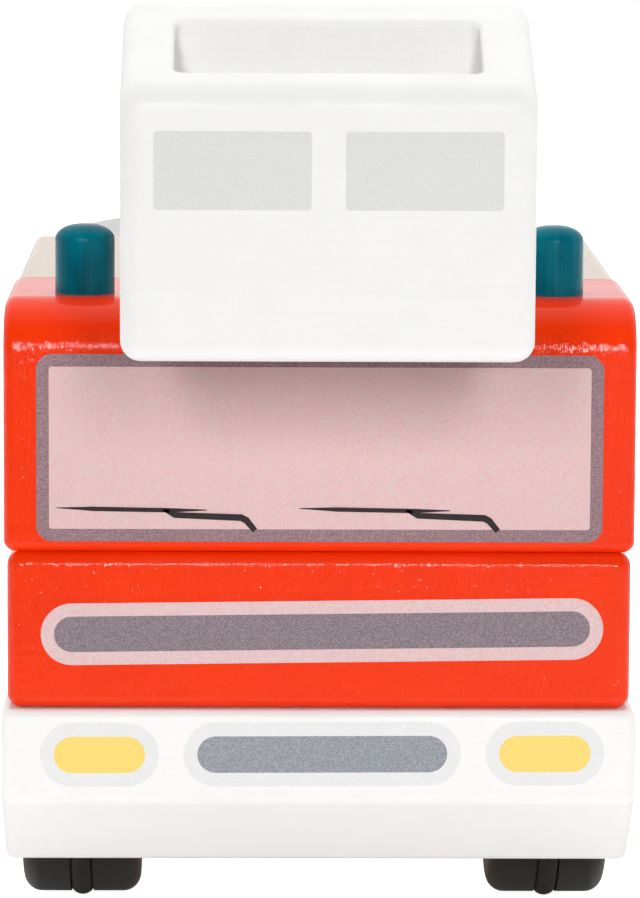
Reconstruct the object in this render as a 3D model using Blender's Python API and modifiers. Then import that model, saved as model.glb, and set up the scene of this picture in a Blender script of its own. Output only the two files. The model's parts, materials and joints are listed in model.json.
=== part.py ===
"""Wooden toy fire truck with a turntable ladder and a rescue basket.

Metres, +Z up. The truck's front faces -Y. The origin is on the ground, under the middle of the toy.
Inside the script, lengths along the truck are measured from the cab's front face towards the rear.
"""

import math

import bmesh
import bpy
from mathutils import Matrix, Vector

# Fits
GLUE_GAP = 0.0003
RUNNING_GAP = 0.0004
SIDE_PLAY = 0.0005

# Wheels, rubber rings and axles
WHEEL_RADIUS = 0.0204
WHEEL_WIDTH = 0.0196
WHEEL_EDGE_ROUND = 0.003
WHEEL_HUB_RADIUS = 0.0085
WHEEL_RIM_RADIUS = 0.0155
WHEEL_DISH_DEPTH = 0.0012
WHEEL_PLAY = 0.0014
WHEEL_INSET = 0.0008
TYRE_CORD = 0.0042
TYRE_PROUD = 0.0006
AXLE_RADIUS = 0.004
AXLE_RECESS = 0.0006

# Chassis beam and bumpers
CHASSIS_HEIGHT = 0.0275
CHASSIS_BELOW_AXLE = 0.008
CHASSIS_EDGE_ROUND = 0.001
BUMPER_OVERHANG = 0.0005
BUMPER_DEPTH = 0.0215
BUMPER_PROUD = 0.001
BUMPER_CHAMFER_HEIGHT = 0.0132
BUMPER_CHAMFER_DEPTH = 0.0165
BUMPER_EDGE_ROUND = 0.0015

# Body board, cab, cabin and rear body
BOARD_LENGTH = 0.252
BOARD_THICKNESS = 0.0252
ARCH_GAP = 0.0035
ARCH_SETBACK = 0.0044
CAB_WIDTH = 0.100
CAB_OVERHANG = 0.0005
CAB_DEPTH = 0.0377
CAB_HEIGHT = 0.0395
CAB_BROW_ROUND = 0.007
CABIN_DEPTH = 0.0738
REAR_BODY_HEIGHT = 0.0281
REAR_BODY_SETBACK = 0.001
BLOCK_EDGE_ROUND = 0.0023

# Beacons
BEACON_RADIUS = 0.00475
BEACON_HEIGHT = 0.011
BEACON_SEAT = 0.008
BEACON_TOP_ROUND = 0.0034
BEACON_FROM_SIDE = 0.0125
BEACON_FROM_FRONT = 0.015

# Turntable, ladder cheeks and ladder rest
TURNTABLE_RADIUS = 0.044
TURNTABLE_THICKNESS = 0.0075
TURNTABLE_EDGE_ROUND = 0.0012
TURNTABLE_FROM_CABIN = 0.0075
PIN_RADIUS = 0.005
PIN_HEAD_RADIUS = 0.010
PIN_HEAD_HEIGHT = 0.004
PIN_HEAD_ROUND = 0.0015
PIN_SEAT = 0.016
PIVOT_FROM_RIM = 0.0262
PIVOT_HEIGHT = 0.0302
PIVOT_RADIUS = 0.003
CHEEK_THICKNESS = 0.008
CHEEK_BASE_LENGTH = 0.026
CHEEK_TOP_RADIUS = 0.0085
CHEEK_TENON_LENGTH = 0.014
REST_THICKNESS = 0.010
REST_FROM_RIM = 0.010
REST_TENON_THICKNESS = 0.006
TENON_DEPTH = 0.005

# Ladder
LADDER_LENGTH = 0.2107
LADDER_WIDTH = 0.040
LADDER_SLOPE_DEG = 3.0
RAIL_THICKNESS = 0.006
RAIL_HEIGHT = 0.009
RUNG_RADIUS = 0.0025
RUNG_COUNT = 8
BASKET_PIN_RADIUS = 0.0025

# Basket
BASKET_WIDTH = 0.060
BASKET_LENGTH = 0.0303
BASKET_FRONT_HEIGHT = 0.0397
BASKET_TOP_SLOPE_DEG = 19.3
BASKET_FLOOR = 0.0205
BASKET_FRONT_WALL = 0.006
BASKET_REAR_WALL = 0.008
BASKET_SIDE_WALL = 0.0077
BASKET_EDGE_ROUND = 0.003
BASKET_POCKET_ROUND = 0.003
BASKET_FROM_PIN = 0.0064
BASKET_BELOW_PIN = 0.0158
BASKET_TILT_DEG = 2.7
TONGUE_TENON_HEIGHT = 0.005
TONGUE_TENON_DEPTH = 0.010

# Hidden glue dowels
DOWEL_RADIUS = 0.004
DOWEL_HALF_LENGTH = 0.010
DOWEL_SPACING = 0.050
BUMPER_DOWEL_FROM_SIDE = 0.0117
BUMPER_DOWEL_BELOW_TOP = 0.009

# Facets
WHEEL_STEPS = 28
DISC_STEPS = 40
BEACON_STEPS = 20
DOWEL_STEPS = 14
RING_STEPS = 8
ARC_STEPS = 4
EDGE_STEPS = 3
MERGE_DISTANCE = 1e-6
SHARP_ANGLE = math.radians(35)

# Heights that follow from the stack of wheels, chassis, board and blocks
AXLE_HEIGHT = WHEEL_RADIUS + TYRE_PROUD
CHASSIS_BOTTOM = AXLE_HEIGHT - CHASSIS_BELOW_AXLE
CHASSIS_TOP = CHASSIS_BOTTOM + CHASSIS_HEIGHT
BOARD_BOTTOM = CHASSIS_TOP + GLUE_GAP
BOARD_TOP = BOARD_BOTTOM + BOARD_THICKNESS
BLOCK_BOTTOM = BOARD_TOP + GLUE_GAP
ROOF = BLOCK_BOTTOM + CAB_HEIGHT
DECK = BLOCK_BOTTOM + REAR_BODY_HEIGHT
DISC_BOTTOM = DECK + GLUE_GAP
DISC_TOP = DISC_BOTTOM + TURNTABLE_THICKNESS
SEAT_HEIGHT = DISC_TOP + GLUE_GAP

# Places across and along the truck
BOARD_WIDTH = CAB_WIDTH - 2 * CAB_OVERHANG
BUMPER_WIDTH = CAB_WIDTH + 2 * BUMPER_OVERHANG
TRACK_WIDTH = BOARD_WIDTH - 2 * WHEEL_INSET
WHEEL_CENTRE_X = (TRACK_WIDTH - WHEEL_WIDTH) / 2
CHASSIS_WIDTH = TRACK_WIDTH - 2 * (WHEEL_WIDTH + WHEEL_PLAY)
ARCH_RADIUS = AXLE_HEIGHT + ARCH_GAP
BUMPER_BACK = BUMPER_DEPTH - BUMPER_PROUD
FRONT_AXLE_Y = BUMPER_BACK + ARCH_SETBACK + ARCH_RADIUS
REAR_AXLE_Y = BOARD_LENGTH - FRONT_AXLE_Y
CHASSIS_FRONT = BUMPER_BACK + GLUE_GAP
CHASSIS_REAR = BOARD_LENGTH - CHASSIS_FRONT
CABIN_FRONT = CAB_DEPTH + GLUE_GAP
CABIN_REAR = CABIN_FRONT + CABIN_DEPTH
REAR_BODY_FRONT = CABIN_REAR + GLUE_GAP
REAR_BODY_REAR = BOARD_LENGTH - REAR_BODY_SETBACK
TURNTABLE_Y = CABIN_REAR + TURNTABLE_FROM_CABIN + TURNTABLE_RADIUS
PIVOT_Y = TURNTABLE_Y + TURNTABLE_RADIUS - PIVOT_FROM_RIM
PIVOT_Z = DISC_TOP + PIVOT_HEIGHT
REST_Y = TURNTABLE_Y - TURNTABLE_RADIUS + REST_FROM_RIM + REST_THICKNESS / 2
CHEEK_CENTRE_X = LADDER_WIDTH / 2 + SIDE_PLAY + CHEEK_THICKNESS / 2
RAIL_CENTRE_X = (LADDER_WIDTH - RAIL_THICKNESS) / 2
TONGUE_WIDTH = LADDER_WIDTH - 2 * (RAIL_THICKNESS + SIDE_PLAY)

# The ladder's tip pin, and the basket's reach in front of it
LADDER_SLOPE = math.radians(LADDER_SLOPE_DEG)
BASKET_TILT = math.radians(BASKET_TILT_DEG)
BASKET_TOP_SLOPE = math.radians(BASKET_TOP_SLOPE_DEG)
TIP_Y = PIVOT_Y - LADDER_LENGTH * math.cos(LADDER_SLOPE)
BASKET_BACK = -BASKET_FROM_PIN
BASKET_FRONT = BASKET_BACK - BASKET_LENGTH
BASKET_BOTTOM = -BASKET_BELOW_PIN
BASKET_FRONT_TOP = BASKET_BOTTOM + BASKET_FRONT_HEIGHT
BASKET_BACK_TOP = BASKET_FRONT_TOP + BASKET_LENGTH * math.tan(BASKET_TOP_SLOPE)
FOREMOST = (TIP_Y + BASKET_FRONT * math.cos(BASKET_TILT)
            - (BASKET_FRONT_TOP - BASKET_EDGE_ROUND) * math.sin(BASKET_TILT))
REARMOST = BOARD_LENGTH + BUMPER_PROUD

SIDES = {"left": -1, "right": 1}
ACROSS, ALONG, UPRIGHT = "X", "Y", "Z"
TURN_TO_AXIS = {
    ACROSS: Matrix.Rotation(math.radians(90), 4, "Y"),
    ALONG: Matrix.Rotation(math.radians(-90), 4, "X"),
    UPRIGHT: Matrix.Identity(4),
}
# Turns a flat drawing's x, y and thickness into the truck's length, height and width.
DRAWING_TO_SIDE = Matrix(((0, 0, 1, 0), (1, 0, 0, 0), (0, 1, 0, 0), (0, 0, 0, 1)))


def clear_scene():
    for old in list(bpy.data.objects):
        bpy.data.objects.remove(old, do_unlink=True)


def new_collection(name):
    collection = bpy.data.collections.new(name)
    bpy.context.scene.collection.children.link(collection)
    return collection


def finish(name, colour, roughness, metallic=0.0):
    material = bpy.data.materials.new(name)
    material.use_nodes = True
    shader = material.node_tree.nodes["Principled BSDF"]
    shader.inputs["Base Color"].default_value = (*colour, 1.0)
    shader.inputs["Roughness"].default_value = roughness
    shader.inputs["Metallic"].default_value = metallic
    return material


def joint_empty(name, parent, location, turn_x=0.0):
    """Empty on a joint's axis, which carries the pieces that move together."""
    empty = bpy.data.objects.new(name, None)
    PARTS.objects.link(empty)
    empty.parent = parent
    empty.location = location
    empty.rotation_euler.x = turn_x
    return empty


def place_part(name, mesh, material, parent, location=(0, 0, 0), axis=UPRIGHT):
    part = bpy.data.objects.new(name, mesh)
    part.data.materials.append(material)
    part.parent = parent
    part.location = location
    part.rotation_euler = TURN_TO_AXIS[axis].to_euler()
    PARTS.objects.link(part)
    return part


def place_cutter(name, mesh, parent, location=(0, 0, 0), axis=UPRIGHT):
    cutter = bpy.data.objects.new(name + "_cutter", mesh)
    cutter.parent = parent
    cutter.location = location
    cutter.rotation_euler = TURN_TO_AXIS[axis].to_euler()
    cutter.display_type = "WIRE"
    cutter.hide_render = True
    CUTTERS.objects.link(cutter)
    return cutter


def cut(part, cutter):
    boolean = part.modifiers.new(cutter.name, "BOOLEAN")
    boolean.operation = "DIFFERENCE"
    boolean.object = cutter


def mesh_from(shape, name, smooth=True):
    mesh = bpy.data.meshes.new(name)
    shape.normal_update()
    shape.to_mesh(mesh)
    shape.free()
    if smooth:
        mesh.shade_smooth()
        mesh.set_sharp_from_angle(angle=SHARP_ANGLE)
    return mesh


def box_shape(size):
    shape = bmesh.new()
    bmesh.ops.create_cube(shape, size=1.0)
    bmesh.ops.scale(shape, vec=size, verts=shape.verts)
    return shape


def outer_edges(shape, joint_face):
    """Sharp edges, apart from those around the flat side at this length, which meets another block."""
    def around_joint(edge):
        return all(abs(vert.co.y - joint_face) < MERGE_DISTANCE for vert in edge.verts)
    shape.normal_update()
    return [edge for edge in shape.edges
            if edge.calc_face_angle(0.0) > SHARP_ANGLE and not around_joint(edge)]


def round_edges(shape, edges, radius, steps):
    bmesh.ops.bevel(shape, geom=edges, offset=radius, offset_type="OFFSET", segments=steps,
                    profile=0.5, affect="EDGES", clamp_overlap=True, material=-1)


def slice_off(shape, point, outward):
    """Cuts a corner off with a plane, and closes the cut."""
    sliced = bmesh.ops.bisect_plane(shape, geom=shape.verts[:] + shape.edges[:] + shape.faces[:],
                                    plane_co=point, plane_no=outward, clear_outer=True)
    rim = [item for item in sliced["geom_cut"] if isinstance(item, bmesh.types.BMEdge)]
    bmesh.ops.holes_fill(shape, edges=rim)


def span(low, high):
    """Size and middle of the box between two corners."""
    low, high = Vector(low), Vector(high)
    return high - low, (low + high) / 2


def dowel_mesh(name, radius, length, steps=DOWEL_STEPS):
    shape = bmesh.new()
    bmesh.ops.create_cone(shape, cap_ends=True, segments=steps, radius1=radius, radius2=radius, depth=length)
    return mesh_from(shape, name)


def arc(centre, radius, start_deg, end_deg, steps):
    """Points on an arc, both ends included."""
    points = []
    for step in range(steps + 1):
        angle = math.radians(start_deg + (end_deg - start_deg) * step / steps)
        points.append((centre[0] + radius * math.cos(angle), centre[1] + radius * math.sin(angle)))
    return points


def hole(centre, radius, steps=DOWEL_STEPS):
    return arc(centre, radius, 0, 360 - 360 / steps, steps - 1)


def turned(name, profile, steps, material, parent, location=(0, 0, 0), axis=UPRIGHT, closed=False):
    """Piece turned on a lathe: a profile of (radius, height) points, spun by a Screw modifier."""
    shape = bmesh.new()
    points = [shape.verts.new((radius, 0, height)) for radius, height in profile]
    for start, end in zip(points, points[1:]):
        shape.edges.new((start, end))
    if closed:
        shape.edges.new((points[-1], points[0]))
    part = place_part(name, mesh_from(shape, name, smooth=False), material, parent, location, axis)
    spin = part.modifiers.new("spin", "SCREW")
    spin.axis = "Z"
    spin.steps = spin.render_steps = steps
    spin.use_merge_vertices = True
    spin.merge_threshold = MERGE_DISTANCE
    spin.use_smooth_shade = True
    return part


def side_solid(name, outlines, width, material, parent, location=(0, 0, 0)):
    """Board cut to a side-view outline of (length, height) points; further outlines are holes in it."""
    curve = bpy.data.curves.new(name + "_outline", "CURVE")
    curve.dimensions = "2D"
    curve.fill_mode = "BOTH"
    curve.extrude = width / 2
    for outline in outlines:
        spline = curve.splines.new("POLY")
        spline.points.add(len(outline) - 1)
        for point, (length, height) in zip(spline.points, outline):
            point.co = (length, height, 0, 1)
        spline.use_cyclic_u = True
    drawing = bpy.data.objects.new(name + "_outline", curve)
    bpy.context.scene.collection.objects.link(drawing)
    solid = drawing.evaluated_get(bpy.context.evaluated_depsgraph_get())
    shape = bmesh.new()
    shape.from_mesh(bpy.data.meshes.new_from_object(solid))
    bpy.data.objects.remove(drawing)
    bmesh.ops.remove_doubles(shape, verts=shape.verts, dist=MERGE_DISTANCE)
    bmesh.ops.transform(shape, matrix=DRAWING_TO_SIDE, verts=shape.verts)
    bmesh.ops.recalc_face_normals(shape, faces=shape.faces)
    return place_part(name, mesh_from(shape, name), material, parent, location)


def glue_dowel(name, location, axis, pieces):
    """Hidden dowel across a glue joint, with the same hole drilled in both pieces."""
    length = 2 * DOWEL_HALF_LENGTH
    place_part(name, dowel_mesh(name, DOWEL_RADIUS, length), BEECH, TRUCK, location, axis)
    drill = dowel_mesh(name, DOWEL_RADIUS + GLUE_GAP, length + 2 * GLUE_GAP)
    cutter = place_cutter(name, drill, TRUCK, location, axis)
    for piece in pieces:
        cut(piece, cutter)


def chassis_beam():
    size, middle = span((-CHASSIS_WIDTH / 2, CHASSIS_FRONT, CHASSIS_BOTTOM),
                        (CHASSIS_WIDTH / 2, CHASSIS_REAR, CHASSIS_TOP))
    shape = box_shape(size)
    round_edges(shape, shape.edges[:], CHASSIS_EDGE_ROUND, EDGE_STEPS - 1)
    beam = place_part("chassis_beam", mesh_from(shape, "chassis_beam"), BEECH, TRUCK, middle)
    for name, axle_y in (("front_axle_bore", FRONT_AXLE_Y), ("rear_axle_bore", REAR_AXLE_Y)):
        bore = dowel_mesh(name, AXLE_RADIUS + RUNNING_GAP, 2 * CHASSIS_WIDTH)
        cut(beam, place_cutter(name, bore, TRUCK, (0, axle_y, AXLE_HEIGHT), ACROSS))
    return beam


def bumper(name, outer_face, facing):
    """White bumper; its lower outer edge is cut off at a slant. facing is -1 in front and 1 behind."""
    shape = box_shape((BUMPER_WIDTH, BUMPER_DEPTH, CHASSIS_HEIGHT))
    chamfer_top = Vector((0, facing * BUMPER_DEPTH / 2, BUMPER_CHAMFER_HEIGHT - CHASSIS_HEIGHT / 2))
    slice_off(shape, chamfer_top, (0, facing * BUMPER_CHAMFER_HEIGHT, -BUMPER_CHAMFER_DEPTH))
    round_edges(shape, shape.edges[:], BUMPER_EDGE_ROUND, EDGE_STEPS)
    middle = (0, outer_face - facing * BUMPER_DEPTH / 2, (CHASSIS_BOTTOM + CHASSIS_TOP) / 2)
    return place_part(name, mesh_from(shape, name), WHITE_PAINT, TRUCK, middle)


def body_board():
    """Red board over the whole length, with a round channel over each axle for the wheels."""
    size, middle = span((-BOARD_WIDTH / 2, 0, BOARD_BOTTOM), (BOARD_WIDTH / 2, BOARD_LENGTH, BOARD_TOP))
    shape = box_shape(size)
    round_edges(shape, shape.edges[:], BLOCK_EDGE_ROUND, EDGE_STEPS)
    board = place_part("body_board", mesh_from(shape, "body_board"), RED_PAINT, TRUCK, middle)
    for name, axle_y in (("front_arch", FRONT_AXLE_Y), ("rear_arch", REAR_AXLE_Y)):
        channel = dowel_mesh(name, ARCH_RADIUS, 2 * BOARD_WIDTH, DISC_STEPS)
        cut(board, place_cutter(name, channel, TRUCK, (0, axle_y, AXLE_HEIGHT), ACROSS))
    return board


def cab_block():
    """Red cab: a large radius over the windscreen, and a square back against the cabin."""
    size, middle = span((-CAB_WIDTH / 2, 0, BLOCK_BOTTOM), (CAB_WIDTH / 2, CAB_DEPTH, ROOF))
    shape = box_shape(size)
    brow = [edge for edge in shape.edges if all(vert.co.y < 0 < vert.co.z for vert in edge.verts)]
    round_edges(shape, brow, CAB_BROW_ROUND, 2 * EDGE_STEPS)
    round_edges(shape, outer_edges(shape, CAB_DEPTH / 2), BLOCK_EDGE_ROUND, EDGE_STEPS)
    cab = place_part("cab_block", mesh_from(shape, "cab_block"), RED_PAINT, TRUCK, middle)
    for side, sign in SIDES.items():
        beacon(side, sign * (CAB_WIDTH / 2 - BEACON_FROM_SIDE), cab)
    return cab


def beacon(side, across, cab):
    """Teal dowel with a rounded top, glued into a blind hole in the cab's roof."""
    name = "beacon_" + side
    place = (across, BEACON_FROM_FRONT, ROOF)
    crown = arc((BEACON_RADIUS - BEACON_TOP_ROUND, BEACON_HEIGHT - BEACON_TOP_ROUND), BEACON_TOP_ROUND,
                90, 0, ARC_STEPS)
    profile = [(0, BEACON_HEIGHT), *crown, (BEACON_RADIUS, -BEACON_SEAT), (0, -BEACON_SEAT)]
    turned(name, profile, BEACON_STEPS, TEAL_PAINT, TRUCK, place)
    depth = BEACON_SEAT + GLUE_GAP
    hole_above = BEACON_HEIGHT
    drill = dowel_mesh(name + "_hole", BEACON_RADIUS + GLUE_GAP, depth + hole_above, BEACON_STEPS)
    drill_place = (across, BEACON_FROM_FRONT, ROOF + (hole_above - depth) / 2)
    cut(cab, place_cutter(name + "_hole", drill, TRUCK, drill_place))


def cabin_block():
    """Clear lacquered block behind the cab, with a square front against it."""
    size, middle = span((-BOARD_WIDTH / 2, CABIN_FRONT, BLOCK_BOTTOM), (BOARD_WIDTH / 2, CABIN_REAR, ROOF))
    shape = box_shape(size)
    round_edges(shape, outer_edges(shape, -CABIN_DEPTH / 2), BLOCK_EDGE_ROUND, EDGE_STEPS)
    return place_part("cabin_block", mesh_from(shape, "cabin_block"), BEECH, TRUCK, middle)


def rear_body():
    """Lower red block behind the cabin, which carries the turntable."""
    size, middle = span((-BOARD_WIDTH / 2, REAR_BODY_FRONT, BLOCK_BOTTOM),
                        (BOARD_WIDTH / 2, REAR_BODY_REAR, DECK))
    shape = box_shape(size)
    round_edges(shape, shape.edges[:], BLOCK_EDGE_ROUND, EDGE_STEPS)
    body = place_part("rear_body", mesh_from(shape, "rear_body"), RED_PAINT, TRUCK, middle)
    turntable_pin(body)
    return body


def turntable_pin(body):
    """Headed pin glued into the rear body; the turntable turns on its shank."""
    head_top = PIN_HEAD_HEIGHT + GLUE_GAP
    shank_end = -(TURNTABLE_THICKNESS + GLUE_GAP + PIN_SEAT)
    crown = arc((PIN_HEAD_RADIUS - PIN_HEAD_ROUND, head_top - PIN_HEAD_ROUND), PIN_HEAD_ROUND,
                90, 0, EDGE_STEPS)
    profile = [(0, head_top), *crown, (PIN_HEAD_RADIUS, GLUE_GAP), (PIN_RADIUS, GLUE_GAP),
               (PIN_RADIUS, shank_end), (0, shank_end)]
    turned("turntable_pin", profile, BEACON_STEPS, BEECH, TRUCK, (0, TURNTABLE_Y, DISC_TOP))
    depth = PIN_SEAT + GLUE_GAP
    drill = dowel_mesh("turntable_pin", PIN_RADIUS + GLUE_GAP, 2 * depth, BEACON_STEPS)
    cut(body, place_cutter("turntable_pin", drill, TRUCK, (0, TURNTABLE_Y, DECK)))


def wheel_profile():
    """Half section of a wheel: dished outer face, rounded tread edges and a groove for the rubber ring."""
    half = WHEEL_WIDTH / 2
    bore = AXLE_RADIUS + GLUE_GAP
    dish = half - WHEEL_DISH_DEPTH
    shoulder = WHEEL_RADIUS - WHEEL_EDGE_ROUND
    groove_radius = TYRE_CORD / 2 + GLUE_GAP
    groove_centre = AXLE_HEIGHT - TYRE_CORD / 2
    mouth_deg = math.degrees(math.acos((WHEEL_RADIUS - groove_centre) / groove_radius))
    outer_round = arc((shoulder, half - WHEEL_EDGE_ROUND), WHEEL_EDGE_ROUND, 90, 0, EDGE_STEPS)
    groove = arc((groove_centre, 0), groove_radius, mouth_deg, 360 - mouth_deg, ARC_STEPS + 2)
    inner_round = arc((shoulder, WHEEL_EDGE_ROUND - half), WHEEL_EDGE_ROUND, 0, -90, EDGE_STEPS)
    face = [(bore, half), (WHEEL_HUB_RADIUS, half), (WHEEL_HUB_RADIUS + WHEEL_DISH_DEPTH, dish),
            (WHEEL_RIM_RADIUS - WHEEL_DISH_DEPTH, dish), (WHEEL_RIM_RADIUS, half)]
    return face + outer_round + groove + inner_round + [(bore, -half)]


def wheel_set(end, axle_y):
    """Axle with a glued wheel and a rubber ring at each end; the whole set turns in the chassis."""
    spin = joint_empty(end + "_axle_spin", TRUCK, (0, axle_y, AXLE_HEIGHT))
    axle_length = TRACK_WIDTH - 2 * AXLE_RECESS
    axle = dowel_mesh(end + "_axle", AXLE_RADIUS, axle_length)
    place_part(end + "_axle", axle, BEECH, spin, axis=ACROSS)
    ring = arc((AXLE_HEIGHT - TYRE_CORD / 2, 0), TYRE_CORD / 2, 0, 360 / RING_STEPS - 360, RING_STEPS - 1)
    for side, sign in SIDES.items():
        place = (sign * WHEEL_CENTRE_X, 0, 0)
        wheel = turned(end + "_wheel_" + side, wheel_profile(), WHEEL_STEPS, BLACK_PAINT, spin, place,
                       ACROSS, closed=True)
        wheel.rotation_euler.y *= sign
        turned(end + "_tyre_" + side, ring, WHEEL_STEPS, BLACK_RUBBER, spin, place, ACROSS, closed=True)


def turntable_disc(swivel):
    """Grey disc that turns on the pin, with mortises for the cheeks and the ladder rest."""
    bore = PIN_RADIUS + RUNNING_GAP
    rim = arc((TURNTABLE_RADIUS - TURNTABLE_EDGE_ROUND, TURNTABLE_THICKNESS - TURNTABLE_EDGE_ROUND),
              TURNTABLE_EDGE_ROUND, 90, 0, EDGE_STEPS)
    profile = [(bore, TURNTABLE_THICKNESS), *rim, (TURNTABLE_RADIUS, 0), (bore, 0)]
    disc = turned("turntable_disc", profile, DISC_STEPS, GREY_PAINT, swivel, closed=True)
    mortise_depth = TENON_DEPTH + GLUE_GAP
    slots = [("rest_mortise", 0, REST_Y, LADDER_WIDTH, REST_TENON_THICKNESS)]
    for side, sign in SIDES.items():
        across = sign * CHEEK_CENTRE_X
        slots.append((side + "_cheek_mortise", across, PIVOT_Y, CHEEK_THICKNESS, CHEEK_TENON_LENGTH))
    for name, across, along, width, length in slots:
        size = (width + 2 * GLUE_GAP, length + 2 * GLUE_GAP, 2 * mortise_depth)
        slot = mesh_from(box_shape(size), name)
        cut(disc, place_cutter(name, slot, swivel, (across, along - TURNTABLE_Y, TURNTABLE_THICKNESS)))


def cheeks(swivel):
    """Two grey uprights, tenoned into the disc, that hold the ladder's pivot dowel."""
    foot = SEAT_HEIGHT - PIVOT_Z
    tenon = DISC_TOP - TENON_DEPTH - PIVOT_Z
    corner = Vector((CHEEK_BASE_LENGTH / 2, foot))
    touch_deg = math.degrees(math.atan2(corner.y, corner.x) + math.acos(CHEEK_TOP_RADIUS / corner.length))
    top = arc((0, 0), CHEEK_TOP_RADIUS, touch_deg, 180 - touch_deg, 3 * ARC_STEPS)
    half_tenon = CHEEK_TENON_LENGTH / 2
    outline = [(-half_tenon, foot), (-half_tenon, tenon), (half_tenon, tenon), (half_tenon, foot),
               (corner.x, foot), *top, (-corner.x, foot)]
    eye = hole((0, 0), PIVOT_RADIUS + GLUE_GAP)
    pivot_place = Vector((0, PIVOT_Y - TURNTABLE_Y, PIVOT_Z - DISC_BOTTOM))
    for side, sign in SIDES.items():
        place = pivot_place + Vector((sign * CHEEK_CENTRE_X, 0, 0))
        side_solid("cheek_" + side, [outline, eye], CHEEK_THICKNESS, GREY_PAINT, swivel, place)
    dowel_length = 2 * CHEEK_CENTRE_X + CHEEK_THICKNESS
    pivot = dowel_mesh("ladder_pivot", PIVOT_RADIUS, dowel_length)
    place_part("ladder_pivot", pivot, BEECH, swivel, pivot_place, ACROSS)


def ladder_rest(swivel):
    """Block on the turntable on which the lowered ladder lies; its top follows the ladder's slope."""
    def underside(along):
        drop = (PIVOT_Y - along) * math.tan(LADDER_SLOPE)
        return PIVOT_Z - drop - (RAIL_HEIGHT / 2 + GLUE_GAP) / math.cos(LADDER_SLOPE) - DISC_BOTTOM
    half, half_tenon = REST_THICKNESS / 2, REST_TENON_THICKNESS / 2
    foot = SEAT_HEIGHT - DISC_BOTTOM
    tenon = TURNTABLE_THICKNESS - TENON_DEPTH
    outline = [(-half, foot), (-half_tenon, foot), (-half_tenon, tenon), (half_tenon, tenon),
               (half_tenon, foot), (half, foot), (half, underside(REST_Y + half)),
               (-half, underside(REST_Y - half))]
    side_solid("ladder_rest", [outline], LADDER_WIDTH, GREY_PAINT, swivel, (0, REST_Y - TURNTABLE_Y, 0))


def ladder(lift):
    """Two rails with dowel rungs. The pivot end is at the empty, the tip towards -Y."""
    pitch = LADDER_LENGTH / (RUNG_COUNT + 1)
    half = RAIL_HEIGHT / 2
    tip = (-LADDER_LENGTH, 0)
    outline = arc((0, 0), half, -90, 90, 2 * ARC_STEPS) + arc(tip, half, 90, 270, 2 * ARC_STEPS)
    holes = [hole((0, 0), PIVOT_RADIUS + RUNNING_GAP), hole(tip, BASKET_PIN_RADIUS + GLUE_GAP)]
    for number in range(1, RUNG_COUNT + 1):
        name = "rung_" + str(number)
        rung = dowel_mesh(name, RUNG_RADIUS, LADDER_WIDTH)
        place_part(name, rung, BEECH, lift, (0, -number * pitch, 0), ACROSS)
        holes.append(hole((-number * pitch, 0), RUNG_RADIUS + GLUE_GAP))
    for side, sign in SIDES.items():
        side_solid("ladder_rail_" + side, [outline, *holes], RAIL_THICKNESS, BEECH, lift,
                   (sign * RAIL_CENTRE_X, 0, 0))
    pin = dowel_mesh("basket_pin", BASKET_PIN_RADIUS, LADDER_WIDTH)
    place_part("basket_pin", pin, BEECH, lift, (0, -LADDER_LENGTH, 0), ACROSS)


def basket(tilt):
    """White rescue basket: a block with a pocket, its top sloping down to the front.

    The empty is on its hinge pin.
    """
    above_top = BASKET_BACK_TOP + BASKET_FLOOR
    size, middle = span((-BASKET_WIDTH / 2, BASKET_FRONT, BASKET_BOTTOM),
                        (BASKET_WIDTH / 2, BASKET_BACK, above_top))
    shape = box_shape(size)
    top_edge = Vector((0, BASKET_FRONT, BASKET_FRONT_TOP)) - middle
    slice_off(shape, top_edge, (0, -math.sin(BASKET_TOP_SLOPE), math.cos(BASKET_TOP_SLOPE)))
    round_edges(shape, shape.edges[:], BASKET_EDGE_ROUND, EDGE_STEPS)
    body = place_part("basket", mesh_from(shape, "basket"), WHITE_PAINT, tilt, middle)
    pocket_floor = BASKET_BOTTOM + BASKET_FLOOR
    half_pocket = BASKET_WIDTH / 2 - BASKET_SIDE_WALL
    pocket_size, pocket_middle = span(
        (-half_pocket, BASKET_FRONT + BASKET_FRONT_WALL, pocket_floor),
        (half_pocket, BASKET_BACK - BASKET_REAR_WALL, above_top))
    pocket = box_shape(pocket_size)
    upright = [edge for edge in pocket.edges if abs(edge.verts[0].co.z - edge.verts[1].co.z) > BASKET_FLOOR]
    round_edges(pocket, upright, BASKET_POCKET_ROUND, ARC_STEPS)
    cut(body, place_cutter("basket_pocket", mesh_from(pocket, "basket_pocket"), tilt, pocket_middle))
    half_slot = TONGUE_TENON_HEIGHT / 2 + GLUE_GAP
    slot_size, slot_middle = span(
        (-TONGUE_WIDTH / 2 - GLUE_GAP, BASKET_BACK - TONGUE_TENON_DEPTH - GLUE_GAP, -half_slot),
        (TONGUE_WIDTH / 2 + GLUE_GAP, BASKET_BACK + TONGUE_TENON_DEPTH, half_slot))
    slot = mesh_from(box_shape(slot_size), "tongue_mortise")
    cut(body, place_cutter("tongue_mortise", slot, tilt, slot_middle))


def basket_tongue(tilt):
    """Block between the ladder's rails: tenoned into the basket, rounded about the hinge pin."""
    half, half_tenon = RAIL_HEIGHT / 2, TONGUE_TENON_HEIGHT / 2
    shoulder = BASKET_BACK + GLUE_GAP
    tenon_end = BASKET_BACK - TONGUE_TENON_DEPTH
    outline = [*arc((0, 0), half, -90, 90, 2 * ARC_STEPS), (shoulder, half), (shoulder, half_tenon),
               (tenon_end, half_tenon), (tenon_end, -half_tenon), (shoulder, -half_tenon), (shoulder, -half)]
    eye = hole((0, 0), BASKET_PIN_RADIUS + RUNNING_GAP)
    side_solid("basket_tongue", [outline, eye], TONGUE_WIDTH, BEECH, tilt)


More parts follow.
